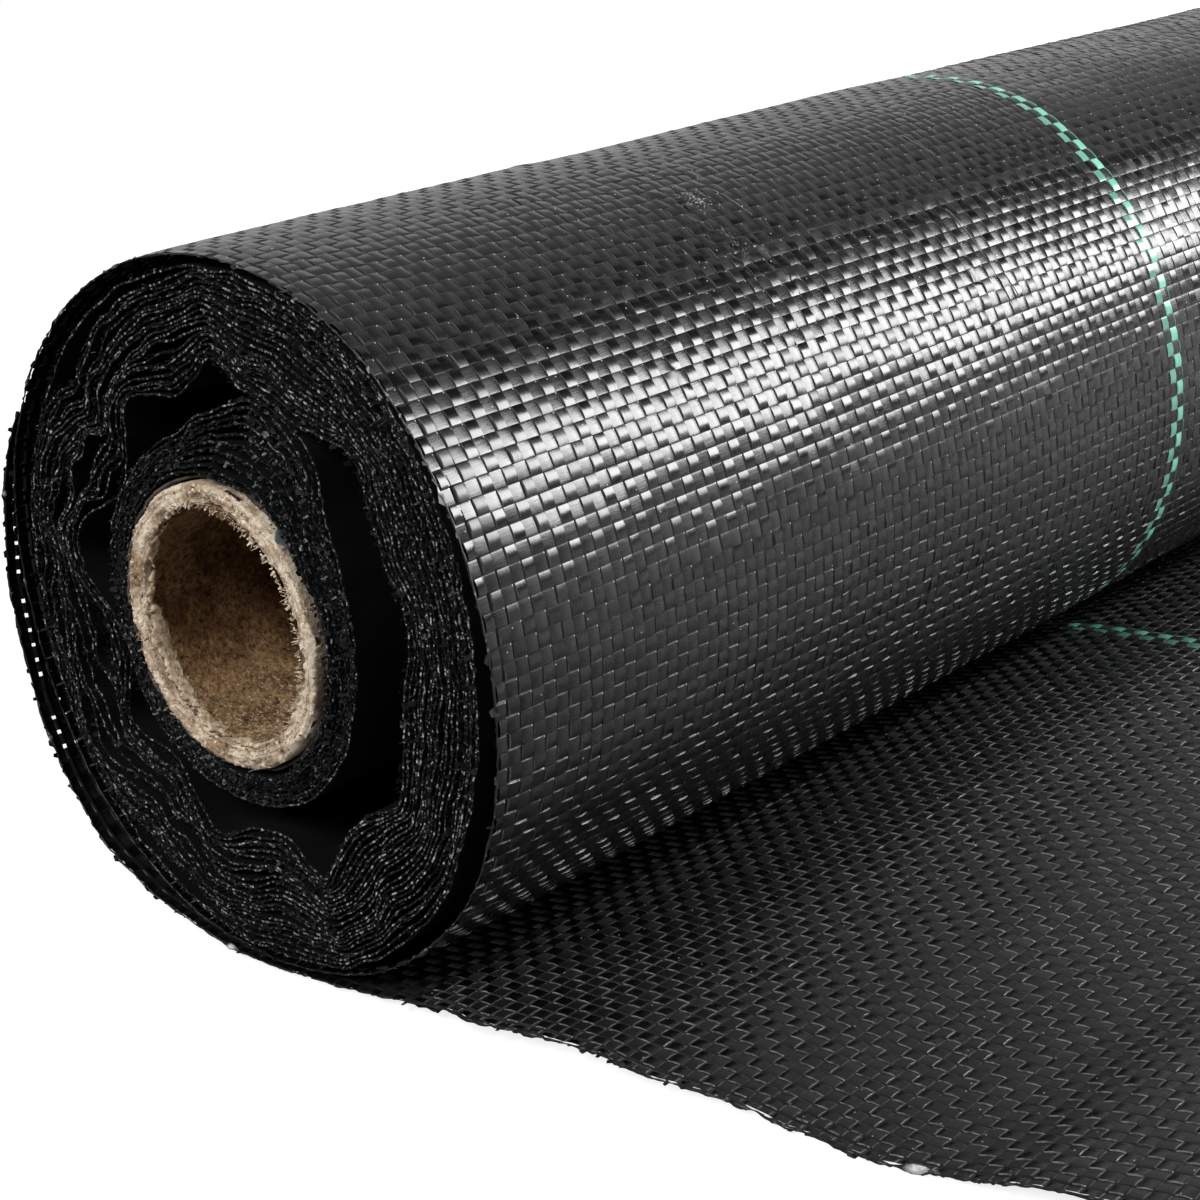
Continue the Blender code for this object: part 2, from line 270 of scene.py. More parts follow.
def weave(name, cells_u, cells_v, place, lines, material, seed=0.0, wrap=False, under=False, holes=0.0, hole_rows=(0, 0),
          taut=False):
    """Woven sheet of tapes: place(u, v, height) gives the points.

    lines is how many lines each tape has across and how many each cell has along the warp. Between two warp
    tapes the sheet drops into a groove, so that every tape on top has a cut side of its own. Where the web is
    pulled taut round the roll the tapes are pressed towards the far end: each one on top closes up with the
    next there, and stands open on its near side.
    """
    (u_low, u_high), (v_low, v_high) = cells_u, cells_v
    across, down = lines
    tape = np.repeat(np.arange(u_low, u_high), across + 1).astype(float)
    a = np.tile(np.append(np.linspace(-1.0, 1.0, across), 2.0), u_high - u_low)
    row = np.repeat(np.arange(v_low, v_high), down).astype(float)
    b = np.tile(np.linspace(-1.0, 1.0, down), v_high - v_low)
    if u_high == TAPES:
        tape, a = tape[:-1], a[:-1]
    else:
        tape, a = np.append(tape, u_high), np.append(a, -1.0)
    if not wrap:
        row, b = np.append(row, v_high), np.append(b, -1.0)
    tape, a, row, b = tape[:, None], a[:, None], row[None, :], b[None, :]
    count = v_high - v_low
    key = row % count if wrap else row
    groove = a > 1.5
    warp_over = (tape + row) % 2 == 0
    beside = side_gap(tape, key + 0.45 * b, seed)
    if taut:
        beside = np.where(warp_over & (a < 0.0), beside * 1.12 + 0.008, 0.018) + 0.10 * ramp(-edge_of(tape + 0.5), -2.4, -0.6)
    u = tape + 0.5 + np.where(groove, 0.5, a * (0.5 - beside)) + 0.012 * noise2(key / 7.0, tape * 3.1, seed)
    v = row + 0.5 + b * (0.5 - weft_gap(key, u, seed) * (0.4 if taut else 1.0)) + 0.010 * noise2(u / 6.0, key * 2.7, seed + 5.0)
    across_u, across_v = u - tape - 0.5, v - row - 0.5
    twist_u = math.radians(4.5) * noise2(key / 13.0, tape * 5.3, seed + 1.0) + math.radians(3.0) * (rnd(tape, key, seed) - 0.5)
    twist_v = math.radians(4.5) * noise2(u / 12.0, key * 4.1, seed + 2.0) + math.radians(3.0) * (rnd(tape, key, seed + 9.0) - 0.5)
    lean = np.radians(4.2) * (rnd(tape, key, seed + 23.0) - 0.5)

    def arch(part):
        return 0.00016 * (1.0 - (2.0 * part) ** 2) if taut else RELIEF * np.cos(np.pi * part)

    over = arch(across_v) + 0.00254 * across_u * np.tan(twist_u) - 0.00003 * (2 * across_u) ** 2
    over = over + WEFT * across_v * np.tan(lean)
    below = arch(across_u) + WEFT * across_v * np.tan(twist_v) - 0.00003 * (2 * across_v) ** 2
    height = np.where(warp_over, over, below) + 0.00003 * (rnd(tape, key, seed + 17.0) - 0.5)
    bottom = -0.00030 - 0.00006 * rnd(tape, key, seed + 27.0)
    if taut:
        bottom = np.where(warp_over, 0.00001, bottom)
    height = np.where(groove, bottom, height)
    loose = ramp(-edge_of(u), -2.0, 0.0)
    height = height + loose * 0.00012 * noise2(key * 0.9, tape * 3.0, seed + 21.0)
    points = np.stack(place(u, v, height), axis=-1)
    rows, columns = points.shape[:2]
    quads = grid_quads(rows, columns, wrap)
    # The drawing of the tapes on the surface goes by the same places on every tape, whatever its width.
    drawn_u = tape + 0.5 + np.where(groove, 0.5, a * 0.43) + 0.0 * row
    uv = np.stack([drawn_u, row + 0.5 + b * 0.465 + 0.0 * tape], axis=-1)
    after = np.roll(uv, -1, axis=1) if wrap else uv[:, 1:]
    before = uv if wrap else uv[:, :-1]
    if wrap:
        after[:, -1, 1] += count
    uvs = np.stack([before[:-1], before[1:], after[1:], after[:-1]], axis=2)
    gap_u = (np.arange(rows - 1) % (across + 1)) >= across - 1
    gap_v = (np.arange(quads.shape[1]) % down) == down - 1
    flat = gap_u[:, None] | gap_v[None, :]
    quads, uvs, flat = quads.reshape(-1, 4), uvs.reshape(-1, 4, 2), flat.ravel()
    if holes:
        open_row = (row[:, : len(gap_v)] >= hole_rows[0]) & (row[:, : len(gap_v)] < hole_rows[1])
        hole = (gap_u[:, None] & gap_v[None, :]) & open_row & (rnd(tape[:-1], row[:, : len(gap_v)], 6.0) < holes)
        hole = hole.ravel()
        quads, uvs, flat = quads[~hole], uvs[~hole], flat[~hole]
    if under:
        quads, uvs = quads[:, ::-1], uvs[:, ::-1]
    return make_mesh(name, points, quads, uvs, flat, material)


# ---------------------------------------------------------------- materials
class Shader:
    """Short names for building a node tree."""

    def __init__(self, name):
        self.material = bpy.data.materials.new(name)
        self.material.use_nodes = True
        self.tree = self.material.node_tree
        self.main = self.tree.nodes["Principled BSDF"]

    def put(self, socket, value):
        if isinstance(value, bpy.types.NodeSocket):
            self.tree.links.new(value, socket)
        else:
            socket.default_value = value

    def node(self, kind, **settings):
        made = self.tree.nodes.new(kind)
        for key, value in settings.items():
            setattr(made, key, value)
        return made

    def math(self, operation, a, b=None, c=None, clamp=False):
        made = self.node("ShaderNodeMath", operation=operation, use_clamp=clamp)
        for socket, value in zip(made.inputs, (a, b, c)):
            if value is not None:
                self.put(socket, value)
        return made.outputs[0]

    def step(self, value, low, high, to_low=0.0, to_high=1.0):
        made = self.node("ShaderNodeMapRange", interpolation_type="SMOOTHSTEP")
        self.put(made.inputs["Value"], value)
        for key, number in (("From Min", low), ("From Max", high), ("To Min", to_low), ("To Max", to_high)):
            self.put(made.inputs[key], number)
        return made.outputs["Result"]

    def mix(self, share, a, b):
        made = self.node("ShaderNodeMix", data_type="FLOAT")
        self.put(made.inputs[0], share)
        self.put(made.inputs[2], a)
        self.put(made.inputs[3], b)
        return made.outputs[0]

    def blend(self, share, a, b, mode="MIX"):
        made = self.node("ShaderNodeMix", data_type="RGBA", blend_type=mode)
        self.put(made.inputs[0], share)
        self.put(made.inputs[6], a)
        self.put(made.inputs[7], b)
        return made.outputs[2]

    def vector(self, x=0.0, y=0.0, z=0.0):
        made = self.node("ShaderNodeCombineXYZ")
        for socket, value in zip(made.inputs, (x, y, z)):
            self.put(socket, value)
        return made.outputs[0]

    def noise(self, vector, scale=1.0, detail=2.0, roughness=0.5):
        made = self.node("ShaderNodeTexNoise", noise_dimensions="3D")
        self.put(made.inputs["Vector"], vector)
        self.put(made.inputs["Scale"], scale)
        self.put(made.inputs["Detail"], detail)
        self.put(made.inputs["Roughness"], roughness)
        return made.outputs["Fac"]

    def chance(self, x, y=0.0, z=0.0):
        made = self.node("ShaderNodeTexWhiteNoise", noise_dimensions="3D")
        self.put(made.inputs["Vector"], self.vector(x, y, z))
        return made.outputs["Value"]

    def position(self):
        made = self.node("ShaderNodeTexCoord")
        return made.outputs["Object"]

    def split(self, vector):
        made = self.node("ShaderNodeSeparateXYZ")
        self.put(made.inputs[0], vector)
        return made.outputs

    def scaled(self, value, factor):
        made = self.node("ShaderNodeVectorMath", operation="SCALE")
        self.put(made.inputs[0], value)
        self.put(made.inputs["Scale"], factor)
        return made.outputs[0]

    def bump(self, height, distance, strength=1.0, after=None):
        made = self.node("ShaderNodeBump")
        made.inputs["Strength"].default_value = strength
        made.inputs["Distance"].default_value = distance
        self.put(made.inputs["Height"], height)
        if after is not None:
            self.put(made.inputs["Normal"], after)
        return made.outputs[0]

    def set(self, **values):
        for key, value in values.items():
            self.put(self.main.inputs[key.replace("_", " ")], value)
        return self.material


def rgb(r, g, b):
    return (r, g, b, 1.0)


def weave_fields(s, taut=False):
    """What the tapes' own material needs: which tape is on top, and where on it the point is."""
    uv = s.node("ShaderNodeUVMap", uv_map="weave").outputs[0]
    u, v = s.split(uv)[:2]
    iu, iv = s.math("FLOOR", u), s.math("FLOOR", v)
    fu = s.math("SUBTRACT", s.math("SUBTRACT", u, iu), 0.5)
    fv = s.math("SUBTRACT", s.math("SUBTRACT", v, iv), 0.5)
    weft = s.math("FLOORED_MODULO", s.math("ADD", iu, iv), 2.0)
    weft = s.math("GREATER_THAN", weft, 0.5)
    key = s.mix(weft, s.math("ADD", iu, 0.37), s.math("ADD", iv, 700.61))
    across = s.mix(weft, fu, fv)
    along = s.mix(weft, v, u)
    shade = s.chance(key, 3.3)
    cell = s.chance(iu, iv, 1.7)
    streak = s.noise(s.vector(s.math("MULTIPLY", across, 17.0), s.math("MULTIPLY", along, 0.55), s.math("MULTIPLY", key, 3.71)), 1.0, 2.0, 0.6)
    fine = s.noise(s.vector(s.math("MULTIPLY", across, 48.0), s.math("MULTIPLY", along, 1.3), s.math("MULTIPLY", key, 1.37)), 1.0, 1.0, 0.5)
    au, av = s.math("ABSOLUTE", fu), s.math("ABSOLUTE", fv)
    over = s.math("SUBTRACT", 1.0, weft)
    # The cut side of the tape that is on top, and the gap beside it, which is painted near black as shade.
    if taut:
        back = s.math("MULTIPLY", fu, -1.0)
        side = s.math("MULTIPLY", s.step(back, 0.418, 0.426), over)
        gap = s.step(s.mix(weft, back, fu), s.mix(weft, 0.452, 0.405), s.mix(weft, 0.458, 0.425))
        # On the roll the pale cut ends are drawn only at the edge of each row that faces upwards, where the light from
        # above catches it: painted light.
        end = s.step(s.mix(weft, s.math("MULTIPLY", fv, -1.0), fv), 0.448, 0.458)
        # Painted light: low down on the roll the tapes' cut edges, which catch the light from above there, are painted
        # paler, and the gaps between its rows are painted less black.
        painted_light_low = s.step(s.split(s.position())[2], RZ - 0.016, RZ + 0.006, 1.0, 0.0)
        rows = s.mix(painted_light_low, s.step(av, 0.463, 0.469, 0.0, 0.94), s.step(av, 0.474, 0.488, 0.0, 0.6))
        gap = s.math("MAXIMUM", gap, rows)
        # Painted highlights: small pale dots at some corners of the weft tapes on top, where the tapes bend and glint.
        corner_glint = s.math("MULTIPLY", s.step(fu, 0.315, 0.345), s.step(fv, 0.365, 0.395))
        corner_glint = s.math("MULTIPLY", s.math("MULTIPLY", corner_glint, weft), s.math("GREATER_THAN", s.chance(iu, iv, 5.1), 0.34))
    else:
        side = s.math("MULTIPLY", s.step(au, 0.418, 0.426), over)
        gap = s.step(au, s.mix(weft, 0.456, 0.424), s.mix(weft, 0.460, 0.440))
        end = s.math("MULTIPLY", s.step(av, 0.452, 0.460), weft)
        gap = s.math("MAXIMUM", gap, s.step(av, s.mix(weft, 0.455, 0.484), s.mix(weft, 0.468, 0.488)))
        corner_glint, painted_light_low = None, None
    # A tape lies flat over the one it crosses and rolls off sharply at both ends, and a little at its sides.
    length_way = s.math("MULTIPLY", s.math("ABSOLUTE", s.mix(weft, fv, fu)), 2.15)
    cross_way = s.math("MULTIPLY", s.math("ABSOLUTE", across), 2.2)
    low, high = (-0.012, -0.008) if taut else (-0.055, -0.030)
    crown = s.math("ADD", s.math("MULTIPLY", s.math("POWER", length_way, 2.0), low),
                   s.math("MULTIPLY", s.math("POWER", length_way, 6.0), high))
    roll_off = s.math("MULTIPLY_ADD", s.math("POWER", cross_way, 6.0), -0.020 if taut else -0.018, crown)
    return dict(uv=uv, u=u, v=v, iu=iu, iv=iv, fu=fu, fv=fv, weft=weft, key=key, across=across, along=along,
                shade=shade, cell=cell, streak=streak, fine=fine, side=side, end=end, gap=gap, corner_glint=corner_glint, painted_light_low=painted_light_low, roll_off=roll_off)


def web_material(name, warp_colour=None, coarse=False, lint=0.5, taut=False, cut_side=0.15, shine=0.5):
    s = Shader(name)
    w = weave_fields(s, taut)
    level = s.math("MULTIPLY_ADD", w["shade"], 0.55, 0.70)
    level = s.math("MULTIPLY", level, s.math("MULTIPLY_ADD", w["streak"], 0.7, 0.65))
    level = s.math("MULTIPLY", level, s.math("MULTIPLY_ADD", w["cell"], 0.25, 0.88))
    black = s.blend(w["weft"], rgb(0.0009, 0.0011, 0.0011), rgb(0.0012, 0.0014, 0.0014))
    if warp_colour:
        black = s.blend(w["weft"], rgb(*warp_colour), rgb(0.0012, 0.0014, 0.0014))
    colour = s.blend(1.0, black, s.vector(level, level, level), "MULTIPLY")
    # Lint and dust: small pale specks, mostly at the corners between tapes.
    spots = s.node("ShaderNodeTexVoronoi", voronoi_dimensions="2D", feature="F1")
    s.put(spots.inputs["Vector"], w["uv"])
    spots.inputs["Scale"].default_value = 1.35
    spot = s.step(spots.outputs["Distance"], 0.035, 0.075, 1.0, 0.0)
    pick = s.math("GREATER_THAN", s.split(spots.outputs["Color"])[0], 1.0 - 0.10 * lint)
    spot = s.math("MULTIPLY", spot, pick)
    colour = s.blend(s.math("MULTIPLY", spot, 0.75), colour, rgb(0.42, 0.43, 0.44))
    # Cut sides are whitened a little, more in some places than in others.
    worn = s.noise(s.vector(s.math("MULTIPLY", w["u"], 1.9), s.math("MULTIPLY", w["v"], 1.9), 5.0), 1.0, 2.0, 0.6)
    worn = s.step(worn, 0.30, 0.65, 0.25, 1.0)
    if taut:
        painted_light_low = w["painted_light_low"]
        # Painted light: on the roll the cut edges are painted paler low down, where the light from above catches them.
        cut = s.math("MAXIMUM", s.math("MULTIPLY", w["side"], s.mix(painted_light_low, 0.30, 0.50)),
                     s.math("MULTIPLY", w["end"], s.mix(painted_light_low, 0.26, 1.0)))
        # Painted highlights: the pale corner dots.
        colour = s.blend(s.math("MULTIPLY", w["corner_glint"], 0.85), colour, rgb(0.34, 0.345, 0.345))
        # A scuffed patch with pale crumbs, and long scratches along the warp.
        crumbs = s.noise(s.vector(s.math("MULTIPLY", w["u"], 5.2), s.math("MULTIPLY", w["v"], 5.2), 9.0), 1.0, 2.0, 0.7)
        for at_u, at_v, wide, tall, share in ((35.6, 23.0, 1.4, 1.8, 0.55), (34.8, 18.8, 1.2, 2.8, 0.62)):
            off_u = s.math("DIVIDE", s.math("SUBTRACT", w["u"], at_u), wide)
            off_v = s.math("DIVIDE", s.math("SUBTRACT", w["v"], at_v), tall)
            off = s.math("SQRT", s.math("ADD", s.math("MULTIPLY", off_u, off_u), s.math("MULTIPLY", off_v, off_v)))
            here = s.math("SUBTRACT", crumbs, s.math("MULTIPLY", off, 0.16))
            colour = s.blend(s.step(here, share - 0.06, share, 0.0, 0.8), colour, rgb(0.26, 0.265, 0.26))
        scratch = None
        for from_u, to_u, from_v, to_v in ((57.2, 58.3, 16.8, 8.6), (58.9, 59.4, 11.6, 8.8), (60.6, 61.6, 25.5, 21.0), (38.0, 38.4, 23.6, 20.2), (38.9, 39.2, 27.5, 25.6)):
            part = s.math("DIVIDE", s.math("SUBTRACT", w["v"], from_v), to_v - from_v)
            line = s.math("SUBTRACT", w["u"], s.math("MULTIPLY_ADD", part, to_u - from_u, from_u))
            inside = s.math("MULTIPLY", s.step(part, 0.0, 0.08), s.step(part, 0.92, 1.0, 1.0, 0.0))
            black_line = s.math("MULTIPLY", s.step(s.math("ABSOLUTE", line), 0.050, 0.075, 1.0, 0.0), inside)
            pale_line = s.math("MULTIPLY", s.step(s.math("ABSOLUTE", s.math("SUBTRACT", line, 0.12)), 0.020, 0.040, 0.7, 0.0), inside)
            colour = s.blend(pale_line, colour, rgb(0.16, 0.165, 0.165))
            scratch = black_line if scratch is None else s.math("MAXIMUM", scratch, black_line)
    else:
        cut = s.math("MAXIMUM", w["side"], s.math("MULTIPLY", w["end"], 0.55))
    pale = rgb(cut_side, cut_side * 1.03, cut_side) if not warp_colour else rgb(0.13, 0.22, 0.18)
    colour = s.blend(s.math("MULTIPLY", cut, worn), colour, pale)
    # Painted shade: the gaps between the tapes are painted near black and made rough; the scratch lines are darkened
    # the same way.
    dark = s.math("MAXIMUM", w["gap"], scratch) if taut else w["gap"]
    colour = s.blend(dark, colour, rgb(0.0006, 0.0006, 0.0006))
    rough = 0.27 if taut else s.mix(w["weft"], 0.30, 0.38)
    rough = s.math("ADD", rough, s.math("MULTIPLY_ADD", w["shade"], 0.12, -0.06))
    rough = s.math("ADD", rough, s.math("MULTIPLY_ADD", w["streak"], 0.22, -0.11) if taut else s.math("MULTIPLY_ADD", w["streak"], 0.18, -0.09))
    if taut:
        rough = s.math("ADD", rough, s.math("MULTIPLY", w["side"], 0.6))
    rough = s.math("ADD", rough, s.math("MULTIPLY", dark, 0.80 if taut else 0.55), clamp=True)
    if shine < 0.5:
        rough = s.math("ADD", rough, 0.22, clamp=True)
    # Heights in millimetres.
    height = s.math("MULTIPLY", w["streak"], s.mix(w["weft"], 0.011, 0.008) if taut else s.mix(w["weft"], 0.014, 0.006))
    height = s.math("ADD", height, s.math("MULTIPLY", w["fine"], s.mix(w["weft"], 0.004, 0.0025)))
    dents = s.noise(s.vector(s.math("MULTIPLY", w["u"], 1.3), s.math("MULTIPLY", w["v"], 1.3), w["weft"]), 1.0, 2.0, 0.5)
    height = s.math("MULTIPLY_ADD", dents, 0.026 if taut else 0.075, height)
    height = s.math("ADD", height, w["roll_off"])
    if coarse:
        crown = s.math("COSINE", s.math("MULTIPLY", s.mix(w["weft"], w["fv"], w["fu"]), math.pi))
        height = s.math("MULTIPLY_ADD", crown, RELIEF / MM, height)
    normal = s.bump(height, MM, 1.0)
    # The drawn tapes scatter light across their own length, so the highlight turns from tape to tape.
    tangent = s.node("ShaderNodeTangent", direction_type="UV_MAP", uv_map="weave").outputs[0]
    other = s.node("ShaderNodeVectorMath", operation="CROSS_PRODUCT")
    s.put(other.inputs[0], s.node("ShaderNodeNewGeometry").outputs["Normal"])
    s.put(other.inputs[1], tangent)
    direction = s.node("ShaderNodeMix", data_type="VECTOR")
    s.put(direction.inputs[0], w["weft"])
    s.put(direction.inputs[4], tangent)
    s.put(direction.inputs[5], other.outputs[0])
    s.set(Base_Color=colour, Roughness=rough, Normal=normal, Tangent=direction.outputs[1])
    s.main.inputs["Anisotropic"].default_value = 0.25 if taut else 0.55
    s.main.inputs["IOR"].default_value = 1.50
    s.main.inputs["Specular IOR Level"].default_value = shine
    return s.material


def turns_material(name, tint, pale):
    """The wound turns: woven faces, and cut edges with short pale dashes painted on as glints of light."""
    s = Shader(name)
    w = weave_fields(s)
    edge = s.node("ShaderNodeAttribute", attribute_name="edge").outputs["Fac"]
    near_edge = s.step(edge, 0.05, 0.9)
    level = s.math("MULTIPLY_ADD", w["streak"], 0.9, 0.5)
    colour = s.blend(1.0, rgb(*tint), s.vector(level, level, level), "MULTIPLY")
    # Painted glints: the pale dashes along the cut edges stand in for the light they catch.
    glint_dash = s.noise(s.vector(s.math("MULTIPLY", w["v"], 3.4), s.math("MULTIPLY", w["u"], 9.0), 3.0), 1.0, 3.0, 0.7)
    glint_dash = s.step(glint_dash, 0.50, 0.60)
    bit = s.noise(s.position(), 900.0, 1.0, 0.5)
    pale = s.blend(s.step(bit, 0.35, 0.68), rgb(pale * 0.06, pale * 0.062, pale * 0.061), rgb(pale * 0.97, pale, pale * 0.99))
    colour = s.blend(s.math("MULTIPLY", glint_dash, near_edge), s.blend(near_edge, colour, rgb(0.0015, 0.0015, 0.0015)), pale)
    rough = s.math("MULTIPLY_ADD", w["streak"], 0.2, 0.72)
    normal = s.bump(s.math("ADD", w["streak"], glint_dash), 0.00006, 0.8)
    s.main.inputs["Specular IOR Level"].default_value = 0.14
    return s.set(Base_Color=colour, Roughness=rough, Normal=normal)


def ends_material(name):
    """Loose tape ends and the melted bead of the heat-cut edge."""
    s = Shader(name)
    place = s.position()
    blot = s.noise(place, 420.0, 3.0, 0.65)
    tiny = s.noise(place, 1500.0, 2.0, 0.6)
    pale = s.math("MULTIPLY", s.step(blot, 0.60, 0.68), s.step(tiny, 0.42, 0.60))
    colour = s.blend(pale, rgb(0.004, 0.004, 0.0045), rgb(0.24, 0.25, 0.25))
    melted = s.node("ShaderNodeAttribute", attribute_name="pale").outputs["Fac"]
    colour = s.blend(melted, colour, s.blend(s.step(blot, 0.35, 0.65), rgb(0.06, 0.06, 0.06), rgb(0.55, 0.55, 0.54)))
    rough = s.math("MULTIPLY_ADD", tiny, 0.35, 0.30)
    normal = s.bump(s.math("ADD", blot, s.math("MULTIPLY", tiny, 0.4)), 0.00025, 0.7)
    return s.set(Base_Color=colour, Roughness=rough, Normal=normal)


def polar(s):
    """Degrees round the roll's axis over 360, radius and Y of the point, from the object's own space."""
    x, y, z = s.split(s.position())
    dx, dz = s.math("SUBTRACT", x, RX), s.math("SUBTRACT", z, RZ)
    radius = s.math("SQRT", s.math("ADD", s.math("MULTIPLY", dx, dx), s.math("MULTIPLY", dz, dz)))
    return dx, dz, radius, y


def board_material(name):
    s = Shader(name)
    dx, dz, radius, y = polar(s)
    place = s.position()
    # Wound plies show as thin broken rings on the cut, with torn fibres across them.
    wander = s.noise(place, 90.0, 3.0, 0.6)
    rings = s.noise(s.vector(s.math("MULTIPLY_ADD", radius, 2600.0, s.math("MULTIPLY", wander, 2.6)), s.math("MULTIPLY", dx, 40.0), s.math("MULTIPLY", dz, 40.0)), 1.0, 2.0, 0.6)
    fibre = s.noise(place, 1300.0, 4.0, 0.7)
    cloud = s.noise(place, 160.0, 3.0, 0.6)
    colour = s.blend(s.step(cloud, 0.36, 0.60), rgb(0.30, 0.20, 0.115), rgb(0.66, 0.55, 0.42))
    colour = s.blend(s.step(rings, 0.50, 0.64, 0.0, 0.75), colour, rgb(0.22, 0.145, 0.085))
    colour = s.blend(s.step(fibre, 0.54, 0.64, 0.0, 0.80), colour, rgb(0.84, 0.75, 0.62))
    speck = s.noise(place, 800.0, 2.0, 0.5)
    colour = s.blend(s.step(speck, 0.69, 0.76, 0.0, 0.8), colour, rgb(0.10, 0.07, 0.05))
    fleck = s.noise(place, 2400.0, 3.0, 0.75)
    colour = s.blend(s.step(fleck, 0.56, 0.66, 0.0, 0.75), colour, rgb(0.20, 0.13, 0.075))
    height = s.math("ADD", s.math("MULTIPLY", rings, 0.8), fibre)
    normal = s.bump(height, 0.0004, 0.8)
    return s.set(Base_Color=colour, Roughness=0.92, Normal=normal)


def kraft_material(name):
    s = Shader(name)
    dx, dz, radius, y = polar(s)
    place = s.position()
    cloud = s.noise(place, 130.0, 4.0, 0.6)
    grain = s.noise(place, 1700.0, 3.0, 0.65)
    # Painted shade above and painted light low down towards the right, near the opening where the front light falls in,
    # with more pale speckles there.
    painted_light_low = s.math("ADD", s.math("MULTIPLY", dz, -0.9), s.math("MULTIPLY", dx, 0.25))
    painted_light_low = s.step(painted_light_low, -0.002, 0.022)
    colour = s.blend(s.step(cloud, 0.36, 0.64), rgb(0.062, 0.028, 0.010), rgb(0.150, 0.082, 0.034))
    colour = s.blend(painted_light_low, colour, s.blend(s.step(cloud, 0.3, 0.7), rgb(0.105, 0.058, 0.026), rgb(0.250, 0.158, 0.082)))
    colour = s.blend(s.step(grain, s.mix(painted_light_low, 0.60, 0.50), s.mix(painted_light_low, 0.70, 0.62), 0.0, 0.7), colour, s.blend(painted_light_low, rgb(0.15, 0.095, 0.055), rgb(0.56, 0.43, 0.30)))
    speck = s.noise(place, 620.0, 2.0, 0.5)
    colour = s.blend(s.step(speck, 0.64, 0.70, 0.0, 0.85), colour, rgb(0.020, 0.012, 0.008))
    # Mottled all over with darker and lighter fibres.
    mottle = s.noise(place, 950.0, 5.0, 0.85)
    mottle = s.step(mottle, 0.36, 0.64, 0.35, 1.75)
    colour = s.blend(1.0, colour, s.vector(mottle, mottle, mottle), "MULTIPLY")
    # Torn back to the pale board at the cut, more in some places than in others.
    depth = s.math("SUBTRACT", 0.5015, s.math("ABSOLUTE", y))
    torn = s.noise(place, 210.0, 4.0, 0.7)
    # More of it on the lower left.
    lean = s.math("SUBTRACT", s.math("MULTIPLY", dx, -0.085), s.math("MULTIPLY", dz, 0.055))
    reach = s.math("ADD", s.math("MULTIPLY_ADD", torn, 0.0080, -0.0026), lean)
    bare = s.step(s.math("SUBTRACT", depth, reach), -0.0004, 0.0004, 1.0, 0.0)
    pale = s.blend(s.step(s.noise(place, 900.0, 4.0, 0.75), 0.38, 0.62), rgb(0.26, 0.175, 0.10), rgb(0.62, 0.51, 0.37))
    colour = s.blend(bare, colour, pale)
    # Bumps of the paper's grain and of its torn edge.
    normal = s.bump(s.math("ADD", grain, s.math("MULTIPLY", bare, 0.8)), 0.00022, 0.8)
    s.main.inputs["Specular IOR Level"].default_value = 0.15
    return s.set(Base_Color=colour, Roughness=0.9, Normal=normal)


def surface_material(name):
    s = Shader(name)
    place = s.position()
    cloud = s.noise(place, 220.0, 4.0, 0.65)
    grain = s.noise(place, 1400.0, 3.0, 0.6)
    colour = s.blend(s.step(cloud, 0.35, 0.65), rgb(0.020, 0.016, 0.013), rgb(0.075, 0.058, 0.046))
    colour = s.blend(s.step(grain, 0.60, 0.76, 0.0, 0.4), colour, rgb(0.20, 0.16, 0.12))
    normal = s.bump(grain, 0.0002, 0.6)
    return s.set(Base_Color=colour, Roughness=0.88, Normal=normal)


def tape_material(name):
    s = Shader(name)
    place = s.position()
    wave = s.noise(place, 500.0, 3.0, 0.6)
    colour = s.blend(wave, rgb(0.055, 0.072, 0.085), rgb(0.20, 0.24, 0.26))
    s.set(Base_Color=colour, Roughness=s.math("MULTIPLY_ADD", wave, 0.25, 0.16), Normal=s.bump(wave, 0.0003, 0.7))
    s.main.inputs["Transmission Weight"].default_value = 0.25
    return s.material


WEB = web_material("web_black_tapes")
WEB_COARSE = web_material("web_black_tapes_plain", coarse=True)
WEB_TAUT = web_material("web_black_tapes_taut", taut=True)
WEB_TAUT_COARSE = web_material("web_black_tapes_taut_plain", coarse=True, taut=True)
# Painted shade: a darker copy of the web for the shaded slack web down the left side, with near-black cut sides, fewer
# pale specks and less shine.
WEB_SLACK_SHADED = web_material("web_black_tapes_slack_shaded", lint=0.1, cut_side=0.012, shine=0.18)
WEB_GREEN = web_material("web_marker_tapes", (0.045, 0.15, 0.098))
WEB_GREEN_TAUT = web_material("web_marker_tapes_taut", (0.122, 0.325, 0.245), taut=True)
TURNS_IN = turns_material("web_tight_turns", (0.0016, 0.0034, 0.0028), 0.22)
TURNS = turns_material("web_turns", (0.0010, 0.0010, 0.0011), 0.40)
ENDS = ends_material("fused_tape_ends")
BOARD = board_material("core_board")
KRAFT = kraft_material("kraft_liner")
SURFACE = surface_material("core_surface_ply")
TAPE = tape_material("start_tape")


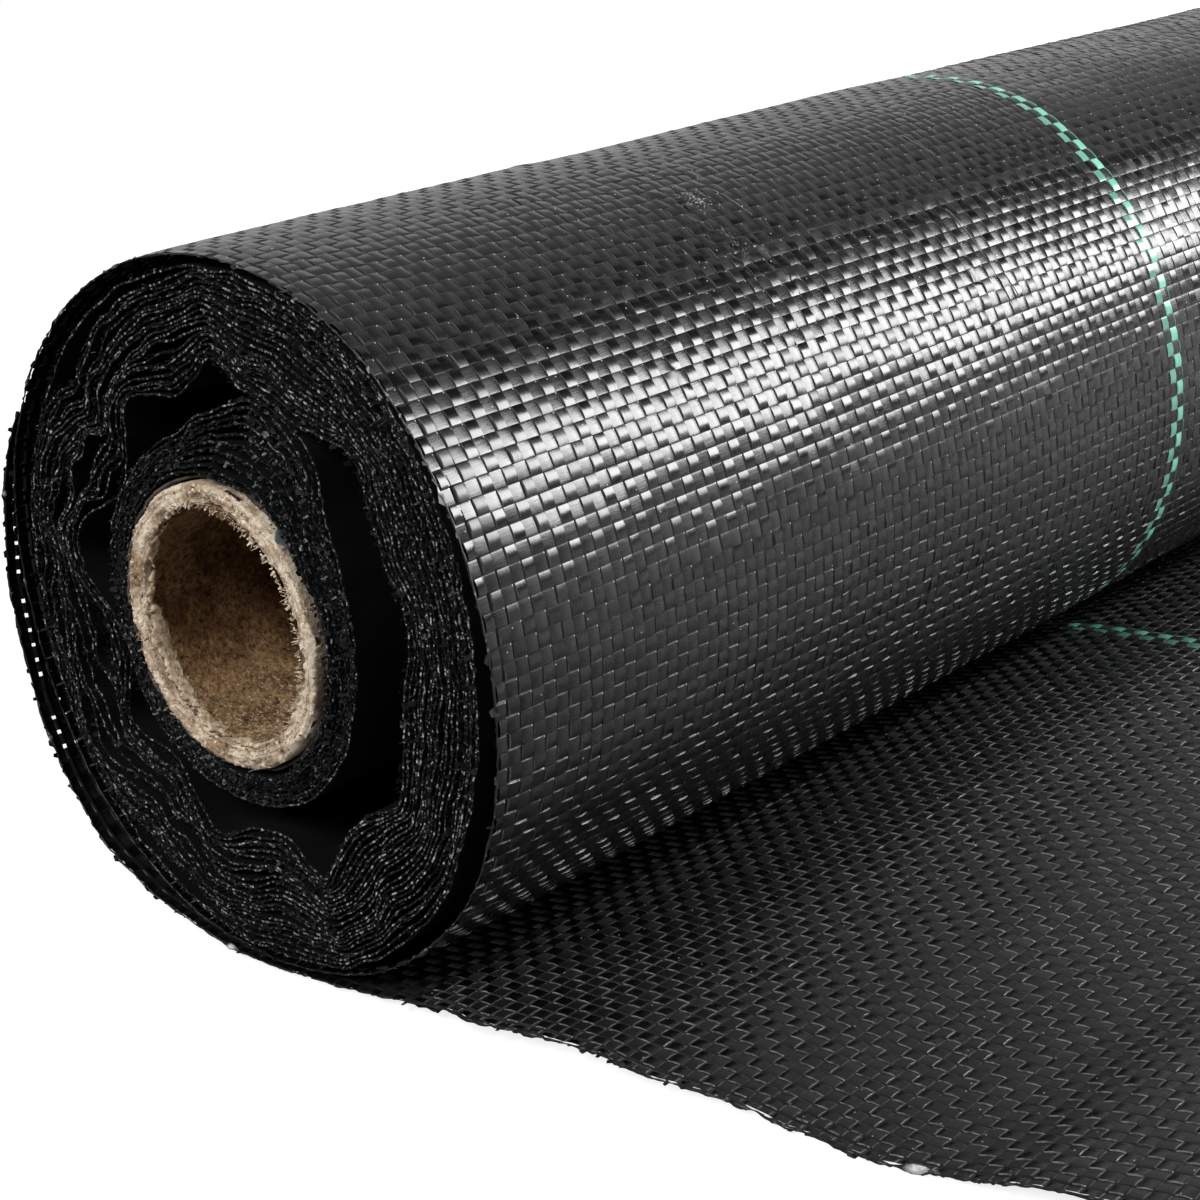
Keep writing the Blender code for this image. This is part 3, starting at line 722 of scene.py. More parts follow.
# ---------------------------------------------------------------- camera
CAMERA_AT = (RX + 0.30001, -0.5 - 0.22526, RZ + 0.10434)
azimuth, elevation, roll = math.radians(43.81), math.radians(16.22), math.radians(-7.17)
look = Vector((-math.sin(azimuth) * math.cos(elevation), math.cos(azimuth) * math.cos(elevation), -math.sin(elevation)))
level = look.cross(Vector((0.0, 0.0, 1.0))).normalized()
upward = level.cross(look)
right = math.cos(roll) * level + math.sin(roll) * upward
up = -math.sin(roll) * level + math.cos(roll) * upward
camera_data = bpy.data.cameras.new("camera")
camera_data.sensor_width = 36.0
camera_data.lens = 71.754
camera_data.clip_start = 0.01
camera_data.clip_end = 30.0
camera = bpy.data.objects.new("camera", camera_data)
scene.collection.objects.link(camera)
camera.matrix_world = Matrix((
    (right.x, up.x, -look.x, CAMERA_AT[0]),
    (right.y, up.y, -look.y, CAMERA_AT[1]),
    (right.z, up.z, -look.z, CAMERA_AT[2]),
    (0.0, 0.0, 0.0, 1.0),
))
scene.camera = camera


# ---------------------------------------------------------------- the outermost turn
ROWS = 138  # weft tapes in one turn


def skin_place(u, v, height):
    y = y_of(u)
    degrees = v * 360.0 / ROWS
    angle = np.radians(degrees)
    cos, sin = np.cos(angle), np.sin(angle)
    free = np.exp(-((y + HALF) / 0.045)) + 0.8 * np.exp(-((HALF - y) / 0.060))
    free = np.clip(free, 0.0, 1.0)
    radius, after, before = (
        on_ring(SKIN_INSIDE, degrees + by) * (1.0 - free) + on_ring(SKIN, degrees + by) * free for by in (0.0, 1.0, -1.0)
    )
    slope = (after - before) / math.radians(2.0)
    radius = radius + 0.22 * MM * noise3(cos * 2.1 + 5.0, sin * 2.1 + 5.0, y * 13.0 + 20.0, 31.0)
    radius = radius + 0.25 * MM * noise3(cos * 5.0 + 9.0, sin * 5.0 + 9.0, y * 38.0 + 50.0, 32.0)
    radius = radius + 0.055 * MM * noise3(cos * 11.0 + 20.0, sin * 11.0 + 20.0, y * 95.0 + 90.0, 35.0)
    # Scuffed places: a band of crumpled tapes round the roll, and a few more.
    for at, where, wide, tall in ((-0.4135, 52.0, 1.6, 15.0), (-0.4050, 40.0, 1.3, 9.0), (-0.3570, 34.0, 0.8, 16.0), (-0.4415, 31.0, 0.8, 4.0)):
        rough = bump(y, at + 0.0016 * noise1(degrees / 5.0, at), wide * MM) * bump(degrees % 360.0, where, tall)
        radius = radius + rough * (0.55 * MM * noise2(y * 1100.0, degrees * 0.9, 33.0) + 0.10 * MM)
    # A faint crease round the roll, 85 mm from the near end.
    crease = -0.4145 + 0.003 * noise1(degrees / 9.0, 3.0)
    radius = radius + 0.22 * MM * bump(y, crease, 0.0016) * ramp(noise1(degrees / 14.0, 8.0), -0.2, 0.5)
    # The edges of the turn pull in a little.
    radius = radius - 0.25 * MM * ramp(-edge_of(u), -3.0, 0.0)
    size = np.hypot(radius, slope)
    nx, nz = (radius * cos + slope * sin) / size, (radius * sin - slope * cos) / size
    return RX + radius * cos + height * nx, y + 0.0 * degrees, RZ + radius * sin + height * nz


PANELS = [(0, 77), (79, 156), (158, 235), (237, 314), (316, 393)]
MARKERS = [(77, 79), (156, 158), (235, 237), (314, 316)]


def skin_piece(name, cells, lines, material, node):
    piece = weave(name, cells, (0, ROWS), skin_place, lines, material, seed=1.0, wrap=True, taut=True)
    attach(piece, "roll")
    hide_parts(node)
    return piece


skin = {
    "near": skin_piece("skin_1_near", (0, 26), (4, 4), WEB_TAUT, "wrap_panel_1"),
    "middle": skin_piece("skin_1_middle", (26, 52), (4, 4), WEB_TAUT, "wrap_panel_1"),
    "1": skin_piece("skin_1_far", (52, 77), (4, 4), WEB_TAUT, "wrap_panel_1"),
    "2": skin_piece("skin_2", PANELS[1], (2, 3), WEB_TAUT, "wrap_panel_2"),
}
for number in (3, 4, 5):
    skin[str(number)] = skin_piece(f"skin_{number}", PANELS[number - 1], (2, 2), WEB_TAUT_COARSE, f"wrap_panel_{number}")
skin_markers = [
    skin_piece(f"skin_marker_{number}", cells, (4, 4) if number == 1 else (3, 3), WEB_GREEN_TAUT, f"wrap_marker_{number}")
    for number, cells in enumerate(MARKERS, 1)
]


# ---------------------------------------------------------------- the slack web down the left side
def polar_point(degrees, millimetres):
    a = math.radians(degrees)
    return RX + millimetres * MM * math.cos(a), RZ + millimetres * MM * math.sin(a)


SLACK_WAY = Path(
    [polar_point(*at) for at in (
        (146, 58.45), (151, 58.9), (157, 59.5), (165, 60.2), (175, 60.9), (185, 61.6), (195, 62.6), (203, 64.0),
        (210, 65.3), (216, 65.9), (222, 65.7), (229, 64.8), (237, 63.6), (245, 62.6), (252, 61.8))]
    + [(RX - 0.0125, 0.0019), (RX - 0.0060, 0.0013), (RX + 0.0010, 0.0011), (RX + 0.0100, 0.0011),
       (RX + 0.0200, 0.0011), (RX + 0.0300, 0.0011), (RX + 0.0360, 0.0010)])
SLACK_ROWS = int(round(SLACK_WAY.length / WEFT))


def slack_place(u, v, height):
    y = y_of(u)
    s = np.clip(v * SLACK_WAY.length / SLACK_ROWS, 0.0, SLACK_WAY.length)
    x, z, nx, nz = SLACK_WAY.at(s)
    free = ramp(s, 0.012, 0.035) * ramp(-s, -SLACK_WAY.length + 0.030, -SLACK_WAY.length + 0.075)
    wave = 0.55 * MM * noise2(s * 42.0, y * 11.0 + 30.0, 41.0) + 0.25 * MM * noise2(s * 130.0, y * 40.0 + 30.0, 42.0)
    lift = free * (wave + 0.5 * MM * ramp(-edge_of(u), -6.0, 0.0) * noise1(s * 90.0, 43.0))
    lift = height + lift
    z = z + 0.75 * MM * ramp(x, RX + 0.010, RX + 0.032) + 1.2 * MM * ramp(x, RX + 0.008, RX + 0.036) * ramp(y, -0.43, -0.34)
    y = y + 0.5 * MM * ramp(x, RX + 0.022, RX + 0.034) * np.sign(TAPES / 2.0 - u)
    return x + lift * nx, y + 0.0 * s, z + lift * nz


def slack_piece(name, cells, lines, holes):
    piece = weave(name, cells, (0, SLACK_ROWS), slack_place, lines, WEB_SLACK_SHADED if lines[1] > 2 else WEB_COARSE, seed=2.0, holes=holes, hole_rows=(3, 24))
    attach(piece, "standing_web")
    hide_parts("web_under_roll")
    return piece


SLACK_CELLS = [("slack_web_edge", (0, 12), (3, 3), 0.9), ("slack_web_near", (12, 77), (3, 3), 0.0),
               ("slack_web_middle", (77, 316), (2, 2), 0.0), ("slack_web_far", (316, 393), (2, 2), 0.2)]
slack = [slack_piece(*row) for row in SLACK_CELLS]


# ---------------------------------------------------------------- the laid web
LAID_FROM, LAID_TO = RX + 0.0300, RX + 0.3990
LAID_ROWS = int(round((LAID_TO - LAID_FROM) / WEFT))


def laid_height(x, y):
    away = (x - RX) / MM
    # Low waves across the sheet, most of them dying away from the near edge.
    base = np.interp(away, [30, 38, 48, 60, 70, 80, 90, 100, 106, 113, 122, 131, 137, 143, 152, 164, 178, 200, 230, 270, 320, 400],
                     [2.35, 3.0, 3.1, 3.1, 2.9, 2.5, 2.2, 1.5, 0.9, 0.75, 0.7, 0.75, 1.5, 2.6, 3.6, 4.8, 5.1, 4.2, 2.6, 1.5, 1.0, 0.7]) * MM
    rise = ramp(away, 30.0, 70.0)
    # Farther in it comes off the roll in a soft rise that falls away outwards.
    base = base + np.interp(away, [10, 24, 32, 45, 60, 78, 100, 120, 140], [0.4, 1.2, 1.5, 1.2, 0.9, 0.2, 0.6, 0.9, 0.0]) * MM * ramp(y, -0.43, -0.34)
    wave = 0.40 * MM * noise2(x * 17.0 + 20.0, y * 9.0 + 40.0, 51.0) + 0.22 * MM * noise2(x * 60.0 + 20.0, y * 31.0 + 40.0, 52.0)
    return base + rise * wave


def laid_place(u, v, height):
    y = y_of(u)
    x = LAID_FROM + v * (LAID_TO - LAID_FROM) / LAID_ROWS
    # The heat-cut edges wander.
    stray = 1.0 * MM * noise1(x * 48.0 + 3.0, 53.0) + 0.5 * MM * noise1(x * 170.0 + 3.0, 54.0)
    y = y + stray * ramp(-edge_of(u), -3.5, 0.0) * ramp(x, LAID_FROM, LAID_FROM + 0.01)
    # Near the fold it also bows outwards a little.
    y = y - 1.2 * MM * bump(x - RX, 0.1215, 0.0125) * ramp(-edge_of(u), -30.0, 0.0) * np.sign(TAPES / 2.0 - u)
    z = laid_height(x, y)
    return x + 0.0 * z, y, z - height * 0.0 + height


def laid_piece(name, cells, lines, material, node):
    piece = weave(name, cells, (0, LAID_ROWS), laid_place, lines, material, seed=3.0, under=True, holes=0.0)
    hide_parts(node)
    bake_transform(piece)
    return piece


laid = [laid_piece("laid_sheet_1", PANELS[0], (3, 3), WEB, "laid_panel_1")]
for number in (2, 3, 4, 5):
    laid.append(laid_piece(f"laid_sheet_{number}", PANELS[number - 1], (2, 2), WEB_COARSE, f"laid_panel_{number}"))
laid_markers = [
    laid_piece(f"laid_marker_tapes_{number}", cells, (3, 3), WEB_GREEN, f"laid_marker_{number}")
    for number, cells in enumerate(MARKERS, 1)
]


# ---------------------------------------------------------------- the wound turns
STEP_AT, STEP_TO = 40.0, 66.0  # each turn moves out by one place here, where the turns lie close
TIGHT_TURNS, SLACK_TURNS = 9, 22
DEPTHS = np.array([0.0, 0.35, 0.9, 1.8, 3.5, 7.0, 15.0, 40.0, 120.0, 300.0]) * MM


def layers():
    """Radii of all places in the roll, from the core out, on a grid of quarter degrees."""
    grid = np.arange(0.0, 360.0, 0.25)
    angle = np.radians(grid)
    c, s = np.cos(angle), np.sin(angle)
    made = []
    tape = 24.95 * MM * oval(angle)
    weights = []
    for k in range(TIGHT_TURNS):
        weights.append(np.exp(0.35 * noise3(c * 3 + 9, s * 3 + 9, k * 1.0, 61.0) + 0.25 * noise3(c * 9 + 9, s * 9 + 9, k * 1.0, 62.0)))
    total = np.cumsum(weights, axis=0)
    inner = np.vstack([np.zeros_like(grid)[None], total / total[-1:]])
    for k in range(TIGHT_TURNS + 1):
        made.append(tape + (TIGHT - tape) * inner[k])
    start = np.maximum(SLACK, TIGHT + 0.45 * MM)
    stop = PACK
    weights = []
    # Round the left side the turns part into bunches; on the right they stay close.
    free = 0.32 + 1.25 * np.clip(-c * 0.9 + 0.25, 0.0, 1.0) + 0.30 * bump(grid, 105.0, 25.0)
    for k in range(SLACK_TURNS - 1):
        n = noise3(c * 2.4 + 9, s * 2.4 + 9, k * 0.9, 63.0) + 0.6 * noise3(c * 7 + 9, s * 7 + 9, k * 1.0, 64.0)
        weights.append(np.exp(1.25 * free * n))
    total = np.cumsum(weights, axis=0)
    outer = np.vstack([np.zeros_like(grid)[None], total / total[-1:]])
    for k in range(SLACK_TURNS):
        made.append(start + (stop - start) * outer[k])
    close = np.clip(0.45 + 0.15 * noise3(c * 3 + 9, s * 3 + 9, 1.0, 65.0) + 0.32 * bump(grid, 325.0, 38.0), 0.1, 0.84)
    made.append(PACK + (SKIN - PACK) * close)
    made.append(SKIN - 0.55 * MM)
    return np.array(made)


PLACES = layers()


def wound_way(first, last, steps):
    """Degrees and radii of the web from place first to place last, one turn for each place."""
    count = int((last - first) * steps)
    turn = first + np.arange(count + 1) / steps
    degrees = STEP_TO + (turn - first) * 360.0
    whole = np.floor(turn + 1e-9)
    part = (degrees - STEP_TO) % 360.0
    whole = np.minimum(whole, len(PLACES) - 2)
    move = ramp(part, 360.0 - (STEP_TO - STEP_AT), 360.0)
    grid = np.arange(0.0, 360.0, 0.25)
    at = (degrees % 360.0) / 0.25
    i = np.floor(at).astype(int) % 1440
    f = at - np.floor(at)
    low = whole.astype(int)
    here = PLACES[low, i] * (1 - f) + PLACES[low, (i + 1) % 1440] * f
    there = PLACES[low + 1, i] * (1 - f) + PLACES[low + 1, (i + 1) % 1440] * f
    return degrees, here * (1 - move) + there * move, turn


def ribbon(name, first, last, steps, material, node):
    degrees, radius, turn = wound_way(first, last, steps)
    angle = np.radians(degrees)
    x, z = radius * np.cos(angle), radius * np.sin(angle)
    s = np.concatenate([[0.0], np.cumsum(np.hypot(np.diff(x), np.diff(z)))])
    tx, tz = np.gradient(x, s), np.gradient(z, s)
    size = np.hypot(tx, tz)
    nx, nz = tz / size, -tx / size
    # The edges are crinkled, and each turn ends a little nearer or farther than the next.
    levels, sides = [], []
    for end in (-1.0, 1.0):
        flush = 1.9 * MM * ramp(-turn, -5.5, -1.0)  # the first turns lie level with the core's cut
        reach = (0.4992 + flush - 1.1 * MM * np.abs(noise1(turn * 1.3, 71.0 + end)) - 0.40 * MM * np.abs(noise1(s / (1.5 * MM), 72.0 + end))
                 - 0.28 * MM * rnd(np.floor(s / WEFT), 73.0 + end)
                 - 0.80 * MM * np.abs(noise3(x * 500.0 + 50, z * 500.0 + 50, end * 3.0 + 9, 78.0)) * ramp(-turn, -9.5, -8.5))
        for depth in DEPTHS if end < 0 else DEPTHS[::-1]:
            fall = math.exp(-depth / 0.010)
            y = end * (reach - depth) if depth < 0.05 else end * (0.4993 - depth)
            common = 0.55 * MM * noise3(x * 210.0 + 50, z * 210.0 + 50, end * 3.0 + 9, 74.0) * fall
            common = common + 0.06 * MM * noise1(s / (1.1 * MM), 75.0 + end) * fall
            common = common + 0.24 * MM * noise3(x * 800.0 + 50, z * 800.0 + 50, end * 3.0 + 9, 77.0) * fall * ramp(-turn, -9.5, -8.5)
            common = common + 0.11 * MM * noise1(s / (3.4 * MM) + depth * 60.0, 76.0 + end) * (0.35 + 0.65 * fall)
            levels.append((y + 0.0 * s, common))
            sides.append(1.0 if depth < 0.0001 else 0.0)
    thick = 0.15 * MM
    rows = []
    for offset in (thick, -thick):
        for y, common in levels:
            out = common + offset
            rows.append(np.stack([RX + x + nx * out, y, RZ + z + nz * out], axis=-1))
    points = np.array(rows)
    many, long = len(levels), len(s)
    index = np.arange(2 * many * long).reshape(2, many, long)
    outer, inner = index[0], index[1]
    uv_u = np.array([np.interp(level[0], Y_AT, U_AT) for level in levels])
    uv_v = np.broadcast_to(s / WEFT, uv_u.shape)
    uv = np.stack([uv_u, uv_v], axis=-1)

    def cells(block, data):
        q = np.stack([block[:-1, :-1], block[1:, :-1], block[1:, 1:], block[:-1, 1:]], axis=-1)
        t = np.stack([data[:-1, :-1], data[1:, :-1], data[1:, 1:], data[:-1, 1:]], axis=2)
        return q.reshape(-1, 4), t.reshape(-1, 4, 2)

    quads, uvs = [], []
    q, t = cells(outer, uv)
    quads.append(q), uvs.append(t)
    q, t = cells(inner, uv)
    quads.append(q[:, ::-1]), uvs.append(t[:, ::-1])
    for at, flip in ((0, False), (many - 1, True)):
        block = np.stack([inner[at], outer[at]])
        data = np.stack([uv[at], uv[at]])
        q, t = cells(block, data)
        if flip:
            q, t = q[:, ::-1], t[:, ::-1]
        quads.append(q), uvs.append(t)
    for at, flip in ((0, True), (long - 1, False)):
        block = np.stack([inner[:, at], outer[:, at]], axis=1)
        data = np.stack([uv[:, at], uv[:, at]], axis=1)
        q, t = cells(block, data)
        if flip:
            q, t = q[:, ::-1], t[:, ::-1]
        quads.append(q), uvs.append(t)
    edge = np.repeat(np.tile(np.array(sides), 2), long)
    cut = np.concatenate([np.full(len(q), number > 1) for number, q in enumerate(quads)])
    piece = make_mesh(name, points, np.concatenate(quads), np.concatenate(uvs), cut, material, True, {"edge": edge})
    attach(piece, "roll")
    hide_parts(node)
    return piece


ribbon("tight_turns", 0, TIGHT_TURNS, 210, TURNS_IN, "inner_turns")
ribbon("slack_turns_inner", TIGHT_TURNS, TIGHT_TURNS + 9, 272, TURNS, "slack_turns")
ribbon("pack_turns", TIGHT_TURNS + 9, TIGHT_TURNS + 16, 340, TURNS, "outer_turns")
ribbon("pack_turns_outer", TIGHT_TURNS + 16, TIGHT_TURNS + SLACK_TURNS + 1, 350, TURNS, "outer_turns")


# ---------------------------------------------------------------- loose tape ends at both ends of the roll
def boxes(name, centres, along, side, out, sizes, material):
    """Many small flat pieces: centres (n, 3), three unit directions (n, 3) and their half sizes (n, 3)."""
    corners = np.array([(a, b, c) for a in (-1, 1) for b in (-1, 1) for c in (-1, 1)], float)
    taper = np.where(corners[:, 2] > 0, 0.55, 1.0)
    points = (centres[:, None] + (corners[None, :, 0] * taper)[..., None] * (along * sizes[:, :1])[:, None]
              + corners[None, :, 1, None] * (side * sizes[:, 1:2])[:, None]
              + corners[None, :, 2, None] * (out * sizes[:, 2:3])[:, None])
    faces = np.array([(0, 1, 3, 2), (4, 6, 7, 5), (0, 4, 5, 1), (2, 3, 7, 6), (0, 2, 6, 4), (1, 5, 7, 3)])
    quads = (np.arange(len(centres))[:, None, None] * 8 + faces[None]).reshape(-1, 4)
    return make_mesh(name, points.reshape(-1, 3), quads, None, None, material, False)


def unit(a):
    return a / np.linalg.norm(a, axis=-1, keepdims=True)


def loose_ends(name, end):
    """Frayed ends of weft tapes along the edge of every wound turn."""
    degrees, radius, turn = wound_way(0, TIGHT_TURNS + SLACK_TURNS + 1, 360)
    angle = np.radians(degrees)
    x, z = radius * np.cos(angle), radius * np.sin(angle)
    s = np.concatenate([[0.0], np.cumsum(np.hypot(np.diff(x), np.diff(z)))])
    tight = float(np.interp(TIGHT_TURNS, turn, s))
    at = np.concatenate([np.arange(0.002, tight, 0.00060), np.arange(tight, s[-1] - 0.002, 0.00150)])
    n = np.arange(len(at))
    at = at + 0.0012 * (rnd(n, 81.0 + end) - 0.5)
    px, pz = np.interp(at, s, x), np.interp(at, s, z)
    qx, qz = np.interp(at + 0.0004, s, x), np.interp(at + 0.0004, s, z)
    along = unit(np.stack([qx - px, 0.0 * px, qz - pz], axis=-1))
    outward = np.stack([along[:, 2], 0.0 * px, -along[:, 0]], axis=-1)
    axis = np.tile([0.0, end, 0.0], (len(at), 1))
    tip = unit(axis + outward * (np.where(at < tight, 1.9, 1.1) * (rnd(n, 82.0 + end) - 0.5))[:, None] + along * (0.7 * (rnd(n, 83.0) - 0.5))[:, None])
    spin = (rnd(n, 84.0 + end) - 0.5) * 1.3
    wide = unit(along * np.cos(spin)[:, None] + outward * np.sin(spin)[:, None])
    thin = unit(np.cross(wide, tip))
    wide = np.cross(tip, thin)
    length = (0.12 + 0.50 * rnd(n, 85.0 + end) ** 2) * MM
    flush = 1.6 * MM * ramp(-np.interp(at, s, turn), -5.5, -1.0)
    y = end * (0.4981 + 0.8 * MM * rnd(n, 88.0 + end) + flush)
    centres = np.stack([RX + px, y + end * length * 0.6, RZ + pz], axis=-1) + outward * (0.25 * MM * (rnd(n, 86.0) - 0.5))[:, None]
    sizes = np.stack([(0.15 + 0.50 * rnd(n, 87.0 + end) ** 2) * MM, 0.03 * MM + 0.0 * length, length], axis=-1)
    piece = boxes(name, centres, wide, thin, tip, sizes, ENDS)
    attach(piece, "roll")
    return piece


turn_ends = [loose_ends("turn_tape_ends_near", -1.0), loose_ends("turn_tape_ends_far", 1.0)]


# ---------------------------------------------------------------- fused selvedges
def bead_tube(name, line, normal, size, seed, pale=0.03):
    """An uneven melted bead along a line of points, with the stubs of weft tapes standing out of it."""
    s = np.concatenate([[0.0], np.cumsum(np.linalg.norm(np.diff(line, axis=0), axis=1))])
    count = int(s[-1] / (0.45 * MM))
    at = np.linspace(0.0, s[-1], count)
    points = np.stack([np.interp(at, s, line[:, k]) for k in range(3)], axis=-1)
    up_dir = unit(np.stack([np.interp(at, s, normal[:, k]) for k in range(3)], axis=-1))
    forward = unit(np.gradient(points, axis=0))
    side = np.cross(forward, up_dir)
    fat = size * (0.75 + 0.35 * noise1(at / (2.1 * MM), seed) + 0.30 * noise1(at / (0.8 * MM), seed + 1.0))
    long = 10.0 * size
    lump = rnd(np.floor(at / long), seed + 2.0)
    inside = np.sin(np.pi * (at / long - np.floor(at / long))) ** 0.5
    fat = fat * (1.0 + np.where(lump > 0.80, 0.5, 0.0) * inside + np.where(lump > 1.0 - pale, 0.7, 0.0) * inside)
    white = np.where(lump > 1.0 - pale, ramp(inside, 0.3, 0.8), 0.0) * ramp(noise1(at / (0.7 * MM), seed + 6.0), -0.7, 0.1)
    wander = 0.15 * MM * noise1(at / (6.0 * MM), seed + 3.0) + 0.15 * MM * noise1(at / (1.9 * MM), seed + 4.0)
    rings = 8
    turn = np.arange(rings) * math.tau / rings
    points = points + side * wander[:, None]
    tube = (points[:, None] + up_dir[:, None] * (np.sin(turn)[None, :, None] * (0.85 * fat)[:, None, None])
            + side[:, None] * (np.cos(turn)[None, :, None] * fat[:, None, None]))
    quads = grid_quads(count, rings, wrap=True).reshape(-1, 4)
    return make_mesh(name, tube.reshape(-1, 3), quads, None, None, ENDS, True, {"pale": np.repeat(white, rings)})


def edge_line(place, u, v_low, v_high, count, lift=0.0):
    v = np.linspace(v_low, v_high, count)
    here = np.stack(place(np.full_like(v, u), v, np.full_like(v, lift)), axis=-1)
    above = np.stack(place(np.full_like(v, u), v, np.full_like(v, lift + 0.001)), axis=-1)
    return here, unit(above - here)


def stub_boxes(name, place, u, v_low, v_high, end, seed, keep=1.0):
    """Ends of the weft tapes sticking out past the bead, each bent its own way."""
    rows = np.arange(v_low, v_high)
    v = rows + 0.5 + 0.2 * (rnd(rows, seed) - 0.5)
    here = np.stack(place(np.full_like(v, u), v, 0.0 * v), axis=-1)
    ahead = np.stack(place(np.full_like(v, u), v + 0.2, 0.0 * v), axis=-1)
    above = np.stack(place(np.full_like(v, u), v, 0.0 * v + 0.001), axis=-1)
    along, outward = unit(ahead - here), unit(above - here)
    axis = np.tile([0.0, end, 0.0], (len(v), 1))
    tip = unit(axis + outward * (0.9 * (rnd(rows, seed + 1.0) - 0.62))[:, None] + along * (0.8 * (rnd(rows, seed + 2.0) - 0.5))[:, None])
    thin = unit(outward + tip * (rnd(rows, seed + 3.0) - 0.5)[:, None] + along * (0.9 * (rnd(rows, seed + 4.0) - 0.5))[:, None])
    wide = unit(np.cross(tip, thin))
    thin = np.cross(wide, tip)
    length = (0.10 + 0.55 * rnd(rows, seed + 5.0) ** 2.2) * MM
    sizes = np.stack([(0.35 + 0.75 * rnd(rows, seed + 6.0)) * MM, 0.05 * MM + 0.0 * length, length], axis=-1)
    centres = here + tip * (length * 0.45)[:, None]
    return boxes(name, centres, wide, thin, tip, sizes, ENDS)


edges = {}
for side, end, u in (("near", -1.0, 0.12), ("far", 1.0, TAPES - 0.12)):
    line, normal = edge_line(skin_place, u, 0.0, ROWS, 900)
    bead = bead_tube(f"skin_selvedge_{side}", line, normal, 0.20 * MM, 91.0 + end)
    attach(bead, "roll")
    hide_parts(f"wrap_selvedge_{side}")
    stubs = stub_boxes(f"skin_weft_ends_{side}", skin_place, u, 0, ROWS, end, 95.0 + end)
    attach(stubs, "roll")
    edges["skin", side] = [bead, stubs]

    line, normal = edge_line(slack_place, u, 0.0, SLACK_ROWS, 500)
    bead = bead_tube(f"slack_selvedge_{side}", line, normal, 0.30 * MM, 101.0 + end)
    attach(bead, "standing_web")
    stubs = stub_boxes(f"slack_weft_ends_{side}", slack_place, u, 0, SLACK_ROWS, end, 105.0 + end)
    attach(stubs, "standing_web")
    edges["slack", side] = [bead, stubs]

    line, normal = edge_line(laid_place, u, 0.0, LAID_ROWS, 900)
    bead = bead_tube(f"laid_selvedge_bead_{side}", line, normal, 0.40 * MM, 111.0 + end, 0.07)
    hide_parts(f"laid_selvedge_{side}")
    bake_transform(bead)
    stubs = stub_boxes(f"laid_weft_ends_{side}", laid_place, u, 0, LAID_ROWS, end, 115.0 + end)
    edges["laid", side] = [bead, stubs]
    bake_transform(stubs)


# The cut end of the laid sheet: warp tapes frayed to different lengths.
def cut_end():
    tapes = np.arange(0, TAPES)
    u = tapes + 0.5
    v = np.full(u.shape, float(LAID_ROWS))
    here = np.stack(laid_place(u, v, 0.0 * u), axis=-1)
    side = np.tile([0.0, 1.0, 0.0], (TAPES, 1))
    tip = unit(np.stack([np.ones(TAPES), 0.35 * (rnd(tapes, 121.0) - 0.5), -0.10 + 0.35 * (rnd(tapes, 122.0) - 0.35)], axis=-1))
    thin = unit(np.cross(tip, side))
    wide = np.cross(thin, tip)
    length = (0.2 + 1.9 * rnd(tapes, 123.0) ** 2) * MM
    sizes = np.stack([1.08 * MM + 0.0 * length, 0.04 * MM + 0.0 * length, length], axis=-1)
    made = boxes("laid_end_tapes", here + tip * (length * 0.8)[:, None], wide, thin, tip, sizes, ENDS)
    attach(made, "laid_web")
    return made


end_tapes = cut_end()


# ---------------------------------------------------------------- the edge pieces that go with each sheet, gathered but not used
for piece, row in zip(slack, SLACK_CELLS):
    extra = {"slack_web_edge": edges["slack", "near"], "slack_web_far": edges["slack", "far"]}.get(row[0], [])
for number, piece in enumerate(laid):
    extra = {0: edges["laid", "near"] + [end_tapes], 4: edges["laid", "far"]}.get(number, [])
    extra = extra + ([laid_markers[number]] if number < 4 else [])


# ---------------------------------------------------------------- the core
CORE_END = 0.5015
AROUND = 520


def lathe(name, profile, material, wrap=True):
    """Turned about the roll's axis: profile(angle) gives (n, 2) arrays of radius and Y for every angle."""
    angle = np.arange(AROUND) * math.tau / AROUND
    radius, y = profile(angle)
    radius = radius * oval(angle)[None]
    points = np.stack([RX + radius * np.cos(angle)[None], y, RZ + radius * np.sin(angle)[None]], axis=-1)
    rows = points.shape[0]
    index = np.arange(rows * AROUND).reshape(rows, AROUND)
    nxt = np.roll(index, -1, axis=1)
    down = np.roll(index, -1, axis=0)
    down_nxt = np.roll(nxt, -1, axis=0)
    quads = np.stack([index, down, down_nxt, nxt], axis=-1).reshape(-1, 4)
    return make_mesh(name, points, quads, None, None, material, True)


def circle_noise(angle, scale, z, seed):
    return noise3(np.cos(angle) * scale + 40.0, np.sin(angle) * scale + 40.0, z, seed)


